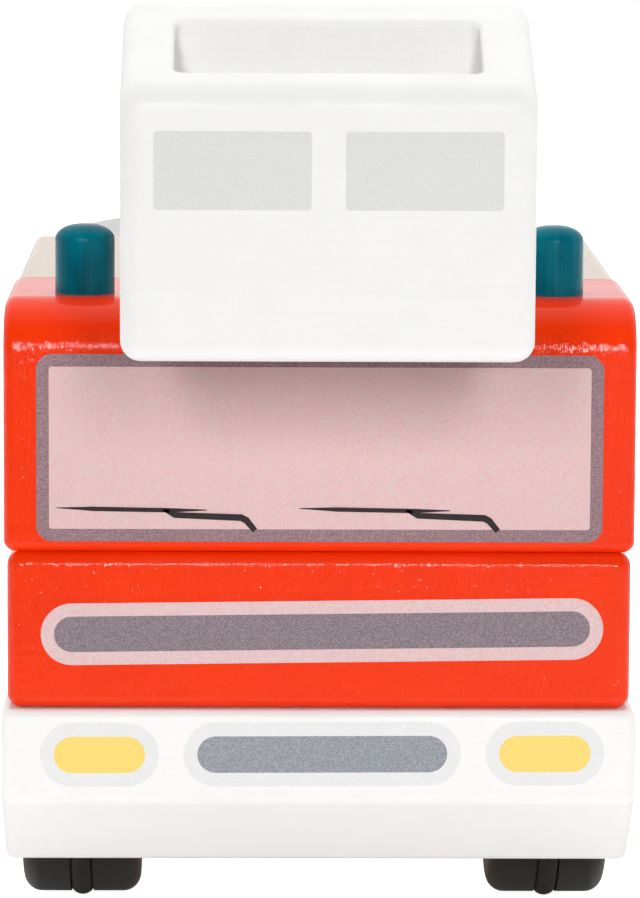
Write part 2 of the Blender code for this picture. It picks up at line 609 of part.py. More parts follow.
def glue_joints(beam, front, rear, board, blocks):
    """Dowels from the chassis to both bumpers and the board, and from the board to each block on it."""
    bumper_dowel_z = CHASSIS_TOP - BUMPER_DOWEL_BELOW_TOP
    for side, sign in SIDES.items():
        across = sign * (CHASSIS_WIDTH / 2 - BUMPER_DOWEL_FROM_SIDE)
        glue_dowel("front_bumper_dowel_" + side, (across, BUMPER_BACK, bumper_dowel_z), ALONG, (beam, front))
        glue_dowel("rear_bumper_dowel_" + side, (across, BOARD_LENGTH - BUMPER_BACK, bumper_dowel_z), ALONG,
                   (beam, rear))
    past_arch = ARCH_RADIUS + 2 * DOWEL_RADIUS
    glue_dowel("chassis_dowel_front", (0, FRONT_AXLE_Y + past_arch, CHASSIS_TOP), UPRIGHT, (beam, board))
    glue_dowel("chassis_dowel_rear", (0, REAR_AXLE_Y - past_arch, CHASSIS_TOP), UPRIGHT, (beam, board))
    for title, block, along in blocks:
        for side, sign in SIDES.items():
            place = (sign * DOWEL_SPACING / 2, along, BOARD_TOP)
            glue_dowel(title + "_dowel_" + side, place, UPRIGHT, (board, block))


clear_scene()
PARTS = new_collection("toy_fire_truck")
CUTTERS = new_collection("cutters")

RED_PAINT = finish("red_paint", (0.96, 0.045, 0.012), 0.35)
WHITE_PAINT = finish("white_paint", (0.92, 0.91, 0.89), 0.45)
TEAL_PAINT = finish("teal_paint", (0.002, 0.11, 0.15), 0.4)
GREY_PAINT = finish("grey_paint", (0.60, 0.60, 0.60), 0.5)
BLACK_PAINT = finish("black_paint", (0.020, 0.017, 0.015), 0.45)
BLACK_RUBBER = finish("black_rubber", (0.014, 0.012, 0.011), 0.6)
BEECH = finish("beech", (0.78, 0.62, 0.46), 0.5)

TRUCK = joint_empty("toy_fire_truck", None, (0, -(FOREMOST + REARMOST) / 2, 0))
SWIVEL = joint_empty("turntable_swivel", TRUCK, (0, TURNTABLE_Y, DISC_BOTTOM))
LIFT = joint_empty("ladder_lift", SWIVEL, (0, PIVOT_Y - TURNTABLE_Y, PIVOT_Z - DISC_BOTTOM), LADDER_SLOPE)
TILT = joint_empty("basket_tilt", LIFT, (0, -LADDER_LENGTH, 0), BASKET_TILT - LADDER_SLOPE)

BEAM = chassis_beam()
FRONT_BUMPER = bumper("front_bumper", -BUMPER_PROUD, -1)
REAR_BUMPER = bumper("rear_bumper", BOARD_LENGTH + BUMPER_PROUD, 1)
BOARD = body_board()
BLOCKS = (
    ("cab", cab_block(), CAB_DEPTH / 2),
    ("cabin", cabin_block(), (CABIN_FRONT + CABIN_REAR) / 2),
    ("rear_body", rear_body(), (TURNTABLE_Y + REAR_BODY_REAR) / 2),
)
glue_joints(BEAM, FRONT_BUMPER, REAR_BUMPER, BOARD, BLOCKS)
wheel_set("front", FRONT_AXLE_Y)
wheel_set("rear", REAR_AXLE_Y)
turntable_disc(SWIVEL)
cheeks(SWIVEL)
ladder_rest(SWIVEL)
ladder(LIFT)
basket(TILT)
basket_tongue(TILT)
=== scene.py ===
# %% [markdown]
# # A wooden toy fire truck, finish by finish
# The construction is already made: every block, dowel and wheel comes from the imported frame, at its
# real size and place. This lesson gives each piece what the eye expects of it: finely rounded edges,
# gloss paint over wood, clear lacquer, rubber, and the inks of the printed windscreen and lamps.

# %% Load the frame
import json
import math

import bmesh
import bpy
from mathutils import Matrix, Vector

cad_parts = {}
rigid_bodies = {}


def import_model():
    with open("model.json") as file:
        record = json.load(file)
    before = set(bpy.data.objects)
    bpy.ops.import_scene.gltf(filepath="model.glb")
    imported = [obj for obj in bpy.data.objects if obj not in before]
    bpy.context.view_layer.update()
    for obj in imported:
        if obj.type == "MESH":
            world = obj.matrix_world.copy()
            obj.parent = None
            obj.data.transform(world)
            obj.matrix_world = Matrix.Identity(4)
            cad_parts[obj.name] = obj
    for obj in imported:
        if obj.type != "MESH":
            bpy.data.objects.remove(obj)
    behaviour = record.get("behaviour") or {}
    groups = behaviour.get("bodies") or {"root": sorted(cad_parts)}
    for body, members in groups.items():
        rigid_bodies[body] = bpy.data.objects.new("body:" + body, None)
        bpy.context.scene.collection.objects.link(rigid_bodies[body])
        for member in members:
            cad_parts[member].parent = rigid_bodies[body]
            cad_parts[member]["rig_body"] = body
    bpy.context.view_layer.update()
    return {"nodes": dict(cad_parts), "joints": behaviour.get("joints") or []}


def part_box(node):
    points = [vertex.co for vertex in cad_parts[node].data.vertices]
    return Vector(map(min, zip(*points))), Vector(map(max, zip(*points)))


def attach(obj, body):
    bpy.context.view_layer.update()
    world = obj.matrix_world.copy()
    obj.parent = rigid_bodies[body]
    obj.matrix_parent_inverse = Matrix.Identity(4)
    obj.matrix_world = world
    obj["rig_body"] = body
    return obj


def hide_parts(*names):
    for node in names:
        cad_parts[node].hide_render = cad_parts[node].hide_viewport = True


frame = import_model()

JOINTS = {joint["name"]: joint for joint in frame["joints"]}
print("CAD nodes:", len(frame["nodes"]), "joints:", sorted(JOINTS))

# %% [markdown]
# ## Camera
# The toy is seen from straight in front and a little above its roof, through a long lens. A camera
# could be aimed with a constraint, but plain angles are easier to check against a photograph: the
# pitch comes from how the roof opens up, and the yaw from where the roof's sides would meet.

# %% Camera
PHOTO_HEIGHT_PX = 898
FOCAL_PX = 4960
SENSOR_MM = 36.0
CAMERA_ACROSS = -0.0125
CAMERA_DISTANCE = 0.775
CAMERA_HEIGHT = 0.1895
CAMERA_PITCH = math.radians(7.85)
CAMERA_YAW = math.radians(0.924)
CAMERA_ROLL = math.radians(0.30)
NEAREST_SEEN = 0.01

CAB_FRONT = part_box("cab_block")[0].y


def photo_camera():
    camera = bpy.data.objects.new("photo_camera", bpy.data.cameras.new("photo_camera"))
    bpy.context.scene.collection.objects.link(camera)
    camera.data.sensor_width = SENSOR_MM
    camera.data.lens = FOCAL_PX * SENSOR_MM / PHOTO_HEIGHT_PX
    camera.data.clip_start = NEAREST_SEEN
    camera.location = (CAMERA_ACROSS, CAB_FRONT - CAMERA_DISTANCE, CAMERA_HEIGHT)
    turn = Matrix.Rotation(-CAMERA_YAW, 3, "Z") @ Matrix.Rotation(math.radians(90) - CAMERA_PITCH, 3, "X")
    camera.rotation_euler = (turn @ Matrix.Rotation(CAMERA_ROLL, 3, "Z")).to_euler()
    bpy.context.scene.camera = camera
    return camera


print("lens in mm:", round(photo_camera().data.lens, 1))

# %% [markdown]
# ## Nodes in short
# Materials, the floor and the world are all node trees. Small helpers keep them readable: they place a
# node, fill its sockets, do sums, mix two colours, stretch a range of values and start a material.

# %% Node helpers


def add_node(tree, kind, settings=None, **sockets):
    """A node with its settings and inputs; an underscore in an input's name stands for a space."""
    node = tree.nodes.new(kind)
    for name, value in (settings or {}).items():
        setattr(node, name, value)
    for name, value in sockets.items():
        fill(tree, node.inputs[name.replace("_", " ")], value)
    return node


def fill(tree, socket, value):
    if isinstance(value, bpy.types.NodeSocket):
        tree.links.new(value, socket)
    else:
        socket.default_value = value


def calc(tree, operation, first, second=0.0):
    node = add_node(tree, "ShaderNodeMath", {"operation": operation})
    fill(tree, node.inputs[0], first)
    fill(tree, node.inputs[1], second)
    return node.outputs[0]


def mix_colours(tree, factor, first, second):
    node = add_node(tree, "ShaderNodeMix", {"data_type": "RGBA"})
    fill(tree, node.inputs["Factor"], factor)
    colours = [socket for socket in node.inputs if socket.type == "RGBA"]
    fill(tree, colours[0], first)
    fill(tree, colours[1], second)
    return [socket for socket in node.outputs if socket.type == "RGBA"][0]


def stretch(tree, value, low, high, new_low=0.0, new_high=1.0):
    node = add_node(tree, "ShaderNodeMapRange", Value=value, From_Min=low, From_Max=high,
                    To_Min=new_low, To_Max=new_high)
    return node.outputs["Result"]


def rgb(red, green, blue):
    return (red, green, blue, 1.0)


def start_material(name, specular):
    material = bpy.data.materials.new(name)
    material.use_nodes = True
    tree = material.node_tree
    shader = tree.nodes["Principled BSDF"]
    shader.inputs["Specular IOR Level"].default_value = specular
    place = add_node(tree, "ShaderNodeTexCoord").outputs["Object"]
    return material, tree, shader, place


print("node helpers ready")

# %% [markdown]
# ## Floor, backdrop and light
# Toys like this are photographed on a white sweep. The floor here is a plain pale plane that takes the
# truck's shadow; a glow, strongest for the camera, lifts it to white and grows with distance. The world
# does the same: it fills the scene softly and shows as white. Gloss paint mirrors the room too, and
# there it matters that the room is bright behind the toy, and dark in front of it, where the
# photographer stands. A painted shadow darkens the floor ahead, from the middle to the left: the upright
# faces mirror it, and their red stays deep.

# %% Floor and world
FLOOR_HALF = 4.0
FLOOR_DROP = 0.0002
FLOOR_GLOW = 0.90
WHITE_FROM = (0.35, 0.80)
FLOOR_BOUNCE = 0.20
FLOOR_GLOW_MIRRORED = 0.40
MIRRORED_BEHIND = (0.0, 0.4)
FLOOR_COLOUR = rgb(0.88, 0.88, 0.88)
# A painted shadow on the floor: its colour, and the ranges along and across over which it comes in.
PAINTED_SHADOW_COLOUR = rgb(0.20, 0.20, 0.20)
PAINTED_SHADOW_AHEAD = (-0.22, -0.42)
PAINTED_SHADOW_SIDE = (0.12, 0.02)
FLOOR_ROUGHNESS = 0.9
FLOOR_SPECULAR = 0.1
FILL_LEVEL = 0.03
DARK_ROOM = 0.10
WHITE_ROOM = 0.93
ROOM_TURNS_WHITE = (-0.35, 0.45)


def mesh_object(shape, name):
    """Ends a bmesh as a mesh object in the scene."""
    mesh = bpy.data.meshes.new(name)
    shape.to_mesh(mesh)
    shape.free()
    made = bpy.data.objects.new(name, mesh)
    bpy.context.scene.collection.objects.link(made)
    return made


def level_seen(tree, gathered, direct, mirrored):
    """One level where light is gathered, one for the camera and one for reflections and glass."""
    path = add_node(tree, "ShaderNodeLightPath")
    in_mirror = calc(tree, "MAXIMUM", path.outputs["Is Glossy Ray"], path.outputs["Is Transmission Ray"])
    seen = calc(tree, "MULTIPLY", path.outputs["Is Camera Ray"], calc(tree, "SUBTRACT", direct, gathered))
    reflected = calc(tree, "MULTIPLY", in_mirror, calc(tree, "SUBTRACT", mirrored, gathered))
    return calc(tree, "ADD", gathered, calc(tree, "ADD", seen, reflected))


def white_floor():
    shape = bmesh.new()
    bmesh.ops.create_grid(shape, x_segments=1, y_segments=1, size=FLOOR_HALF)
    bmesh.ops.translate(shape, vec=(0, 0, -FLOOR_DROP), verts=shape.verts)
    floor = mesh_object(shape, "floor")
    material, tree, shader, place = start_material("floor_white", FLOOR_SPECULAR)
    across, along, _ = add_node(tree, "ShaderNodeSeparateXYZ", Vector=place).outputs
    ahead = stretch(tree, along, *PAINTED_SHADOW_AHEAD)
    # The floor's colour turns to a painted shadow ahead and to the left, which the gloss faces mirror.
    painted_shadow = calc(tree, "MULTIPLY", ahead, stretch(tree, across, *PAINTED_SHADOW_SIDE))
    fill(tree, shader.inputs["Base Color"], mix_colours(tree, painted_shadow, FLOOR_COLOUR, PAINTED_SHADOW_COLOUR))
    shader.inputs["Roughness"].default_value = FLOOR_ROUGHNESS
    shader.inputs["Emission Color"].default_value = rgb(1, 1, 1)
    distance = add_node(tree, "ShaderNodeVectorMath", {"operation": "LENGTH"}, Vector=place).outputs["Value"]
    glow = stretch(tree, distance, *WHITE_FROM, FLOOR_GLOW, 1.0)
    mirrored = stretch(tree, along, *MIRRORED_BEHIND, 0.0, FLOOR_GLOW_MIRRORED)
    bounced = stretch(tree, ahead, 0, 1, FLOOR_BOUNCE, 0.0)
    fill(tree, shader.inputs["Emission Strength"], level_seen(tree, bounced, glow, mirrored))
    floor.data.materials.append(material)
    return floor


def white_world():
    world = bpy.data.worlds.new("studio")
    bpy.context.scene.world = world
    world.use_nodes = True
    tree = world.node_tree
    background = tree.nodes["Background"]
    background.inputs["Color"].default_value = rgb(1, 1, 1)
    direction = add_node(tree, "ShaderNodeTexCoord").outputs["Generated"]
    backward = add_node(tree, "ShaderNodeSeparateXYZ", Vector=direction).outputs["Y"]
    room = stretch(tree, backward, *ROOM_TURNS_WHITE, DARK_ROOM, WHITE_ROOM)
    fill(tree, background.inputs["Strength"], level_seen(tree, FILL_LEVEL, 1.0, room))


white_world()
print("stage:", white_floor().name)

# %% [markdown]
# ### Lamps
# Two soft boxes stand behind the camera, one on either side. They light the truck's face, draw the
# glints in the rounded edges and throw the basket's shadow straight down the windscreen, half dark where
# only one box is hidden. Large boxes above, behind and at the sides light what the photographer doesn't
# see. Reflections leave them out, because their edges would show in the gloss as hard lines.

# %% Lamps
LAMP_TARGET = Vector((0, 0, 0.08))
LARGE_BOX = 0.5
# Each lamp's place, its width and height in metres, and its watts.
LAMPS = {
    "front_left": ((-0.25, -1.6, 0.47), 0.18, 0.30, 7.1),
    "front_right": ((0.18, -1.6, 0.47), 0.18, 0.30, 7.1),
    "top_box": ((0.0, 0.1, 1.6), 1.2, 1.2, 14.0),
    "left_box": ((-1.3, 0.4, 0.5), 1.4, 0.8, 8.0),
    "right_box": ((1.3, 0.4, 0.5), 1.4, 0.8, 8.0),
    "back_box": ((0.0, 1.1, 1.2), 1.2, 0.8, 9.0),
}


def soft_box(name, place, width, height, power):
    lamp = bpy.data.lights.new(name, "AREA")
    lamp.shape = "RECTANGLE"
    lamp.size = width
    lamp.size_y = height
    lamp.energy = power
    box = bpy.data.objects.new(name, lamp)
    box.location = place
    box.visible_glossy = width < LARGE_BOX
    box.rotation_euler = (LAMP_TARGET - Vector(place)).to_track_quat("-Z", "Y").to_euler()
    bpy.context.scene.collection.objects.link(box)


for lamp_name, lamp_values in LAMPS.items():
    soft_box(lamp_name, *lamp_values)
print("lamps:", sorted(LAMPS))

# %% [markdown]
# ## Effects that several finishes share
# Paint over wood is never perfectly flat: sprayed paint has a faint orange peel, the fibres of the wood
# push through as long shallow lines, and dust leaves a few specks. Each effect is a node group, built
# once, that puts out masks and heights; every material then decides how much of it to use.

# %% Group: wood fibres
WOOD_NOISE = {
    "Fibres": {"scale": (55, 1900, 1900), "detail": 4.0, "kept": (0.3, 0.7)},
    "Bands": {"scale": (9, 170, 170), "detail": 3.0, "kept": (0.32, 0.68)},
    "Pores": {"scale": (330, 3600, 3600), "detail": 1.0, "kept": (0.66, 0.74)},
}
WOOD_NOISE_ROUGHNESS = 0.6


def new_group(name, inputs, outputs):
    group = bpy.data.node_groups.new(name, "ShaderNodeTree")
    for title, kind in inputs.items():
        group.interface.new_socket(title, in_out="INPUT", socket_type=kind)
    for title in outputs:
        group.interface.new_socket(title, in_out="OUTPUT", socket_type="NodeSocketFloat")
    return group, group.nodes.new("NodeGroupInput"), group.nodes.new("NodeGroupOutput")


def wood_fibre_group():
    """Long fibres, broad growth bands and short pores. The vector is in metres, with the grain along X."""
    group, given, made = new_group("wood_fibres", {"Vector": "NodeSocketVector"}, WOOD_NOISE)
    for title, values in WOOD_NOISE.items():
        mapped = add_node(group, "ShaderNodeMapping", Vector=given.outputs["Vector"], Scale=values["scale"])
        noise = add_node(group, "ShaderNodeTexNoise", Vector=mapped.outputs[0], Scale=1.0,
                         Detail=values["detail"], Roughness=WOOD_NOISE_ROUGHNESS)
        fill(group, made.inputs[title], stretch(group, noise.outputs["Fac"], *values["kept"]))
    return group


WOOD_FIBRES = wood_fibre_group()
print("group:", WOOD_FIBRES.name)

# %% [markdown]
# ### Paint skin
# A scan could give paint its relief, but noise in the object's own metres has no seams and fits every
# block. Slow waves and short upright strokes add up to the peel.

# %% Group: paint skin
WAVES = {"scale": 700, "detail": 1.0}
WAVES_SHARE = 0.6
STROKES = {"scale": 1850, "detail": 1.0, "distortion": 0.8, "stretched": (1.0, 1.0, 0.45)}
MOTTLE = {"scale": 95, "detail": 4.0}
MOTTLE_KEPT = (0.3, 0.7)
SPECK_CELLS = 70.0
SPECK_KEPT = (0.030, 0.018)


def paint_skin_group():
    """Short upright strokes as a height, slow mottling, and rare dust specks."""
    group, given, made = new_group("paint_skin", {"Vector": "NodeSocketVector"}, ("Peel", "Mottle", "Specks"))
    vector = given.outputs["Vector"]

    def noise(scale, detail, distortion=0.0, stretched=(1.0, 1.0, 1.0)):
        mapped = add_node(group, "ShaderNodeMapping", Vector=vector, Scale=stretched)
        return add_node(group, "ShaderNodeTexNoise", Vector=mapped.outputs[0], Scale=scale, Detail=detail,
                        Distortion=distortion).outputs["Fac"]

    waves = calc(group, "MULTIPLY", noise(**WAVES), WAVES_SHARE)
    fill(group, made.inputs["Peel"], calc(group, "ADD", waves, noise(**STROKES)))
    fill(group, made.inputs["Mottle"], stretch(group, noise(**MOTTLE), *MOTTLE_KEPT))
    cells = add_node(group, "ShaderNodeTexVoronoi", Vector=vector, Scale=SPECK_CELLS)
    fill(group, made.inputs["Specks"], stretch(group, cells.outputs["Distance"], *SPECK_KEPT))
    return group


PAINT_SKIN = paint_skin_group()
print("group:", PAINT_SKIN.name)

# %% [markdown]
# ### Ink grain
# Ink that is pressed on from a pad has pinholes and an uneven thickness. The size of the grain is an
# input of the group, so that every ink can have its own.

# %% Group: ink grain
GRAIN = {"Detail": 2.0, "Roughness": 0.7}
PINHOLES_KEPT = (0.42, 0.60)
CLOUDS = {"Scale": 120.0, "Detail": 5.0, "Roughness": 0.65}
CLOUDS_KEPT = (0.3, 0.7)


def ink_grain_group():
    """Pinholes where the surface below shows through an ink, and the ink's cloudy thickness."""
    group, given, made = new_group("ink_grain", {"Vector": "NodeSocketVector", "Size": "NodeSocketFloat"},
                                   ("Pinholes", "Clouds"))
    vector = given.outputs["Vector"]
    scale = calc(group, "DIVIDE", 1.0, given.outputs["Size"])
    grain = add_node(group, "ShaderNodeTexNoise", Vector=vector, Scale=scale, **GRAIN)
    clouds = add_node(group, "ShaderNodeTexNoise", Vector=vector, **CLOUDS)
    fill(group, made.inputs["Pinholes"], stretch(group, grain.outputs["Fac"], *PINHOLES_KEPT))
    fill(group, made.inputs["Clouds"], stretch(group, clouds.outputs["Fac"], *CLOUDS_KEPT))
    return group


INK_GRAIN = ink_grain_group()
print("group:", INK_GRAIN.name)

# %% [markdown]
# ## Paint over wood
# Red, white, grey, black and teal are the same paint in different colours, so one function makes them
# all. The grain runs along the long side of each block, which is why the function takes a direction.
# On upright faces the peel keeps its full depth; on top, where wet paint settles, it levels out.

# %% Paint
LEVELLED = (0.25, 0.60)
LEVELLED_PEEL = 0.03
SPECK_SHARE = 0.6
GLOSSIER = 0.05
DULLER = 0.07
TURN_GRAIN = {"X": (0, 0, 0), "Y": (0, 0, math.radians(90)), "Z": (0, math.radians(90), 0)}


def use_group(tree, group, **sockets):
    return add_node(tree, "ShaderNodeGroup", {"node_tree": group}, **sockets).outputs


def grained(tree, place, along):
    turned_place = add_node(tree, "ShaderNodeMapping", Vector=place, Rotation=TURN_GRAIN[along])
    return use_group(tree, WOOD_FIBRES, Vector=turned_place.outputs[0])


def vary_roughness(tree, shader, mask, glossiest, dullest):
    fill(tree, shader.inputs["Roughness"], stretch(tree, mask, 0, 1, glossiest, dullest))


def raise_surface(tree, shader, height, depth):
    bump = add_node(tree, "ShaderNodeBump", Height=height, Distance=depth, Strength=1.0)
    fill(tree, shader.inputs["Normal"], bump.outputs["Normal"])


def painted(name, colour, shade, along, roughness, specular, streaks, peel_depth=0.00003, fibre_share=0.8):
    """Paint in a colour, with a shade of it in the wood's streaks and specks."""
    material, tree, shader, place = start_material(name, specular)
    wood = grained(tree, place, along)
    skin = use_group(tree, PAINT_SKIN, Vector=place)
    facing = add_node(tree, "ShaderNodeTexCoord").outputs["Normal"]
    upward = add_node(tree, "ShaderNodeSeparateXYZ", Vector=facing).outputs["Z"]
    lines = calc(tree, "MULTIPLY", wood["Fibres"], wood["Bands"])
    tone = calc(tree, "MULTIPLY", calc(tree, "ADD", lines, skin["Mottle"]), streaks)
    specks = calc(tree, "MULTIPLY", skin["Specks"], wood["Pores"])
    marks = calc(tree, "MULTIPLY", specks, SPECK_SHARE)
    tinted = mix_colours(tree, calc(tree, "MAXIMUM", tone, marks), rgb(*colour), rgb(*shade))
    fill(tree, shader.inputs["Base Color"], tinted)
    vary_roughness(tree, shader, skin["Mottle"], roughness - GLOSSIER, roughness + DULLER)
    upright = stretch(tree, calc(tree, "ABSOLUTE", upward), *LEVELLED, 1.0, LEVELLED_PEEL)
    height = calc(tree, "ADD", skin["Peel"], calc(tree, "MULTIPLY", wood["Fibres"], fibre_share))
    raise_surface(tree, shader, calc(tree, "MULTIPLY", height, upright), peel_depth)
    return material


RED_PAINT = painted("red_paint", (0.92, 0.042, 0.002), (0.76, 0.020, 0.001), "X", roughness=0.11,
                    specular=0.30, streaks=0.25, peel_depth=0.00014, fibre_share=0.05)
WHITE_PAINT = painted("white_paint", (0.93, 0.925, 0.915), (0.86, 0.855, 0.84), "X", roughness=0.42,
                      specular=0.30, streaks=0.30)
GREY_PAINT = painted("grey_paint", (0.60, 0.60, 0.60), (0.52, 0.52, 0.52), "Y", roughness=0.45,
                     specular=0.30, streaks=0.25)
BLACK_PAINT = painted("black_paint", (0.015, 0.0135, 0.012), (0.028, 0.026, 0.024), "Y", roughness=0.42,
                      specular=0.35, streaks=0.45)
TEAL_PAINT = painted("teal_paint", (0.0, 0.235, 0.330), (0.0, 0.065, 0.095), "Z", roughness=0.14,
                     specular=0.12, streaks=0.60, peel_depth=0.00004)
print("paints:", sorted(material.name for material in bpy.data.materials if "paint" in material.name))

# %% [markdown]
# ## Lacquered beech and rubber
# The block behind the cab, the ladder and every dowel are clear lacquered beech: pale, with soft bands
# and the short dark flecks that are typical of this wood. The rubber rings are matt and a little dusty.

# %% Beech and rubber
BEECH_LIGHT = rgb(0.71, 0.53, 0.37)
BEECH_BAND = rgb(0.60, 0.43, 0.28)
BEECH_LINE = rgb(0.50, 0.31, 0.18)
BEECH_FLECK = rgb(0.36, 0.20, 0.11)
LINE_SHARE = 0.35
FLECK_SHARE = 0.55
LACQUER_SPECULAR = 0.5
LACQUER_ROUGHNESS = (0.07, 0.12)
RUBBER_CLEAN = rgb(0.012, 0.011, 0.010)
RUBBER_DUSTY = rgb(0.024, 0.021, 0.019)
RUBBER_SPECULAR = 0.4
RUBBER_ROUGHNESS = (0.55, 0.7)
RUBBER_PEEL = 0.00002


def beech(name, along):
    material, tree, shader, place = start_material(name, LACQUER_SPECULAR)
    wood = grained(tree, place, along)
    pale = mix_colours(tree, wood["Bands"], BEECH_LIGHT, BEECH_BAND)
    lined = mix_colours(tree, calc(tree, "MULTIPLY", wood["Fibres"], LINE_SHARE), pale, BEECH_LINE)
    flecked = mix_colours(tree, calc(tree, "MULTIPLY", wood["Pores"], FLECK_SHARE), lined, BEECH_FLECK)
    fill(tree, shader.inputs["Base Color"], flecked)
    vary_roughness(tree, shader, wood["Fibres"], *LACQUER_ROUGHNESS)
    return material


def rubber():
    material, tree, shader, place = start_material("black_rubber", RUBBER_SPECULAR)
    skin = use_group(tree, PAINT_SKIN, Vector=place)
    fill(tree, shader.inputs["Base Color"], mix_colours(tree, skin["Mottle"], RUBBER_CLEAN, RUBBER_DUSTY))
    vary_roughness(tree, shader, skin["Mottle"], *RUBBER_ROUGHNESS)
    raise_surface(tree, shader, skin["Peel"], RUBBER_PEEL)
    return material


BEECH_ALONG = {along: beech("beech_along_" + along.lower(), along) for along in "XYZ"}
BLACK_RUBBER = rubber()
print("wood:", [material.name for material in BEECH_ALONG.values()])

# %% [markdown]
# ## From a shape to a finished piece
# Every finished piece takes the place of one node of the frame: it rides on that node's body, and the
# node is hidden. Weighted normals keep the large faces flat while the rounded edges shade smoothly,
# and edges that stay square, such as those of a glued face, are marked sharp.

# %% Finish a piece
SHARP = math.radians(35)
WELD = 1e-7


def place_piece(shape, name, material, body):
    bmesh.ops.recalc_face_normals(shape, faces=shape.faces)
    shape.normal_update()
    for face in shape.faces:
        face.smooth = True
    for edge in shape.edges:
        edge.smooth = edge.calc_face_angle(0.0) < SHARP
    piece = mesh_object(shape, name)
    piece.data.materials.append(material)
    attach(piece, body)
    return piece


def finish_node(node, shape, material):
    """Puts a finely made shape in the place of a CAD node."""
    body = frame["nodes"][node]["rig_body"]
    piece = place_piece(shape, node + "_finished", material, body)
    piece.modifiers.new("flat faces stay flat", "WEIGHTED_NORMAL").keep_sharp = True
    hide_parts(node)
    return piece


def box_between(low, high):
    shape = bmesh.new()
    bmesh.ops.create_cube(shape, size=1.0)
    bmesh.ops.scale(shape, vec=high - low, verts=shape.verts)
    bmesh.ops.translate(shape, vec=(low + high) / 2, verts=shape.verts)
    return shape


def arc(centre, radius, start_deg, end_deg, steps):
    angles = [math.radians(start_deg + (end_deg - start_deg) * step / steps) for step in range(steps + 1)]
    return [(centre[0] + radius * math.cos(angle), centre[1] + radius * math.sin(angle)) for angle in angles]


def push_across(outline, low_x, high_x):
    """A block with an outline of (length, height) points, between two places across the truck."""
    shape = bmesh.new()
    face = shape.faces.new([shape.verts.new((low_x, length, height)) for length, height in outline])
    pushed = bmesh.ops.extrude_face_region(shape, geom=[face], use_keep_orig=True)
    moved = [item for item in pushed["geom"] if isinstance(item, bmesh.types.BMVert)]
    bmesh.ops.translate(shape, vec=(high_x - low_x, 0, 0), verts=moved)
    bmesh.ops.recalc_face_normals(shape, faces=shape.faces)
    return shape


def soften(shape, chosen, radius, steps, affect="EDGES"):
    bmesh.ops.bevel(shape, geom=chosen, offset=radius, offset_type="OFFSET", affect=affect, segments=steps,
                    profile=0.5, material=-1, clamp_overlap=True)


def slice_off(shape, point, outward):
    """Saws a corner off with a plane, and closes the cut."""
    sliced = bmesh.ops.bisect_plane(shape, geom=shape.verts[:] + shape.edges[:] + shape.faces[:],
                                    plane_co=point, plane_no=outward, clear_outer=True)
    rim = [item for item in sliced["geom_cut"] if isinstance(item, bmesh.types.BMEdge)]
    bmesh.ops.holes_fill(shape, edges=rim)


print("ready to finish", len(frame["nodes"]), "nodes")

# %% [markdown]
# ## Body blocks
# The cab, the block behind it, the long board and the rear body are sawn blocks with sanded edges. A
# cube with bevelled edges is enough for most. The cab's brow is sanded far rounder, and a little flatter
# on top, so the cab is drawn from the side, with a quarter of an ellipse, and pushed across the truck.
# Faces that are glued to a neighbour keep square edges, and glue fills the thin line below each block.

# %% Cab, cabin and rear body
EDGE_ROUND = 0.0023
EDGE_STEPS = 7
UPPER_ROUND = 0.0018
GLUE_LINE = Vector((0, 0, 0.0003))
BROW_DEPTH = 0.0095
BROW_HEIGHT = 0.0082
BROW_STEPS = 24
TOUCH = 1e-5


def sharp_edges(shape, glued_at=None):
    """Edges with a clear angle, apart from those around a glued face at this place along Y."""
    def glued(edge):
        return glued_at is not None and all(abs(vert.co.y - glued_at) < TOUCH for vert in edge.verts)
    shape.normal_update()
    return [edge for edge in shape.edges if edge.calc_face_angle(0.0) > SHARP and not glued(edge)]


def finish_cab():
    low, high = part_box("cab_block")
    foot = low.z - GLUE_LINE.z
    brow = [(low.y + BROW_DEPTH * (1 + along), high.z + BROW_HEIGHT * (up - 1))
            for along, up in arc((0, 0), 1.0, 180, 90, BROW_STEPS)]
    shape = push_across([(high.y, foot), (low.y, foot), *brow, (high.y, high.z)], low.x, high.x)
    soften(shape, sharp_edges(shape, glued_at=high.y), UPPER_ROUND, EDGE_STEPS)
    return finish_node("cab_block", shape, RED_PAINT)


def finish_block(node, material, radius, glued_at=None):
    low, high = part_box(node)
    shape = box_between(low - GLUE_LINE, high)
    soften(shape, sharp_edges(shape, glued_at), radius, EDGE_STEPS)
    return finish_node(node, shape, material)


print("cab:", finish_cab().name)
CABIN_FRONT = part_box("cabin_block")[0].y
print("cabin:", finish_block("cabin_block", BEECH_ALONG["Y"], UPPER_ROUND, glued_at=CABIN_FRONT).name)
print("rear body:", finish_block("rear_body", RED_PAINT, EDGE_ROUND).name)

# %% [markdown]
# ### Body board with its wheel arches
# The board under the cab is one red plank. Its wheel arches are milled right across, so a boolean with
# a round cutter is the honest way to make them; the result is kept as a plain mesh and the cutter goes.

# %% Body board
ARCH_GAP = 0.0035
ARCH_STEPS = 96
AXLE_HEIGHT = JOINTS["front_axle_spin"]["pos_m"][2]
ARCH_RADIUS = AXLE_HEIGHT + ARCH_GAP


def cylinder(radius, length, steps):
    """A cylinder that lies across the truck."""
    shape = bmesh.new()
    bmesh.ops.create_cone(shape, cap_ends=True, segments=steps, radius1=radius, radius2=radius, depth=length)
    across = Matrix.Rotation(math.radians(90), 3, "Y")
    bmesh.ops.rotate(shape, cent=(0, 0, 0), matrix=across, verts=shape.verts)
    return shape


def round_cutter(joint, length):
    shape = cylinder(ARCH_RADIUS, length, ARCH_STEPS)
    bmesh.ops.translate(shape, vec=JOINTS[joint]["pos_m"], verts=shape.verts)
    return mesh_object(shape, "arch_cutter")


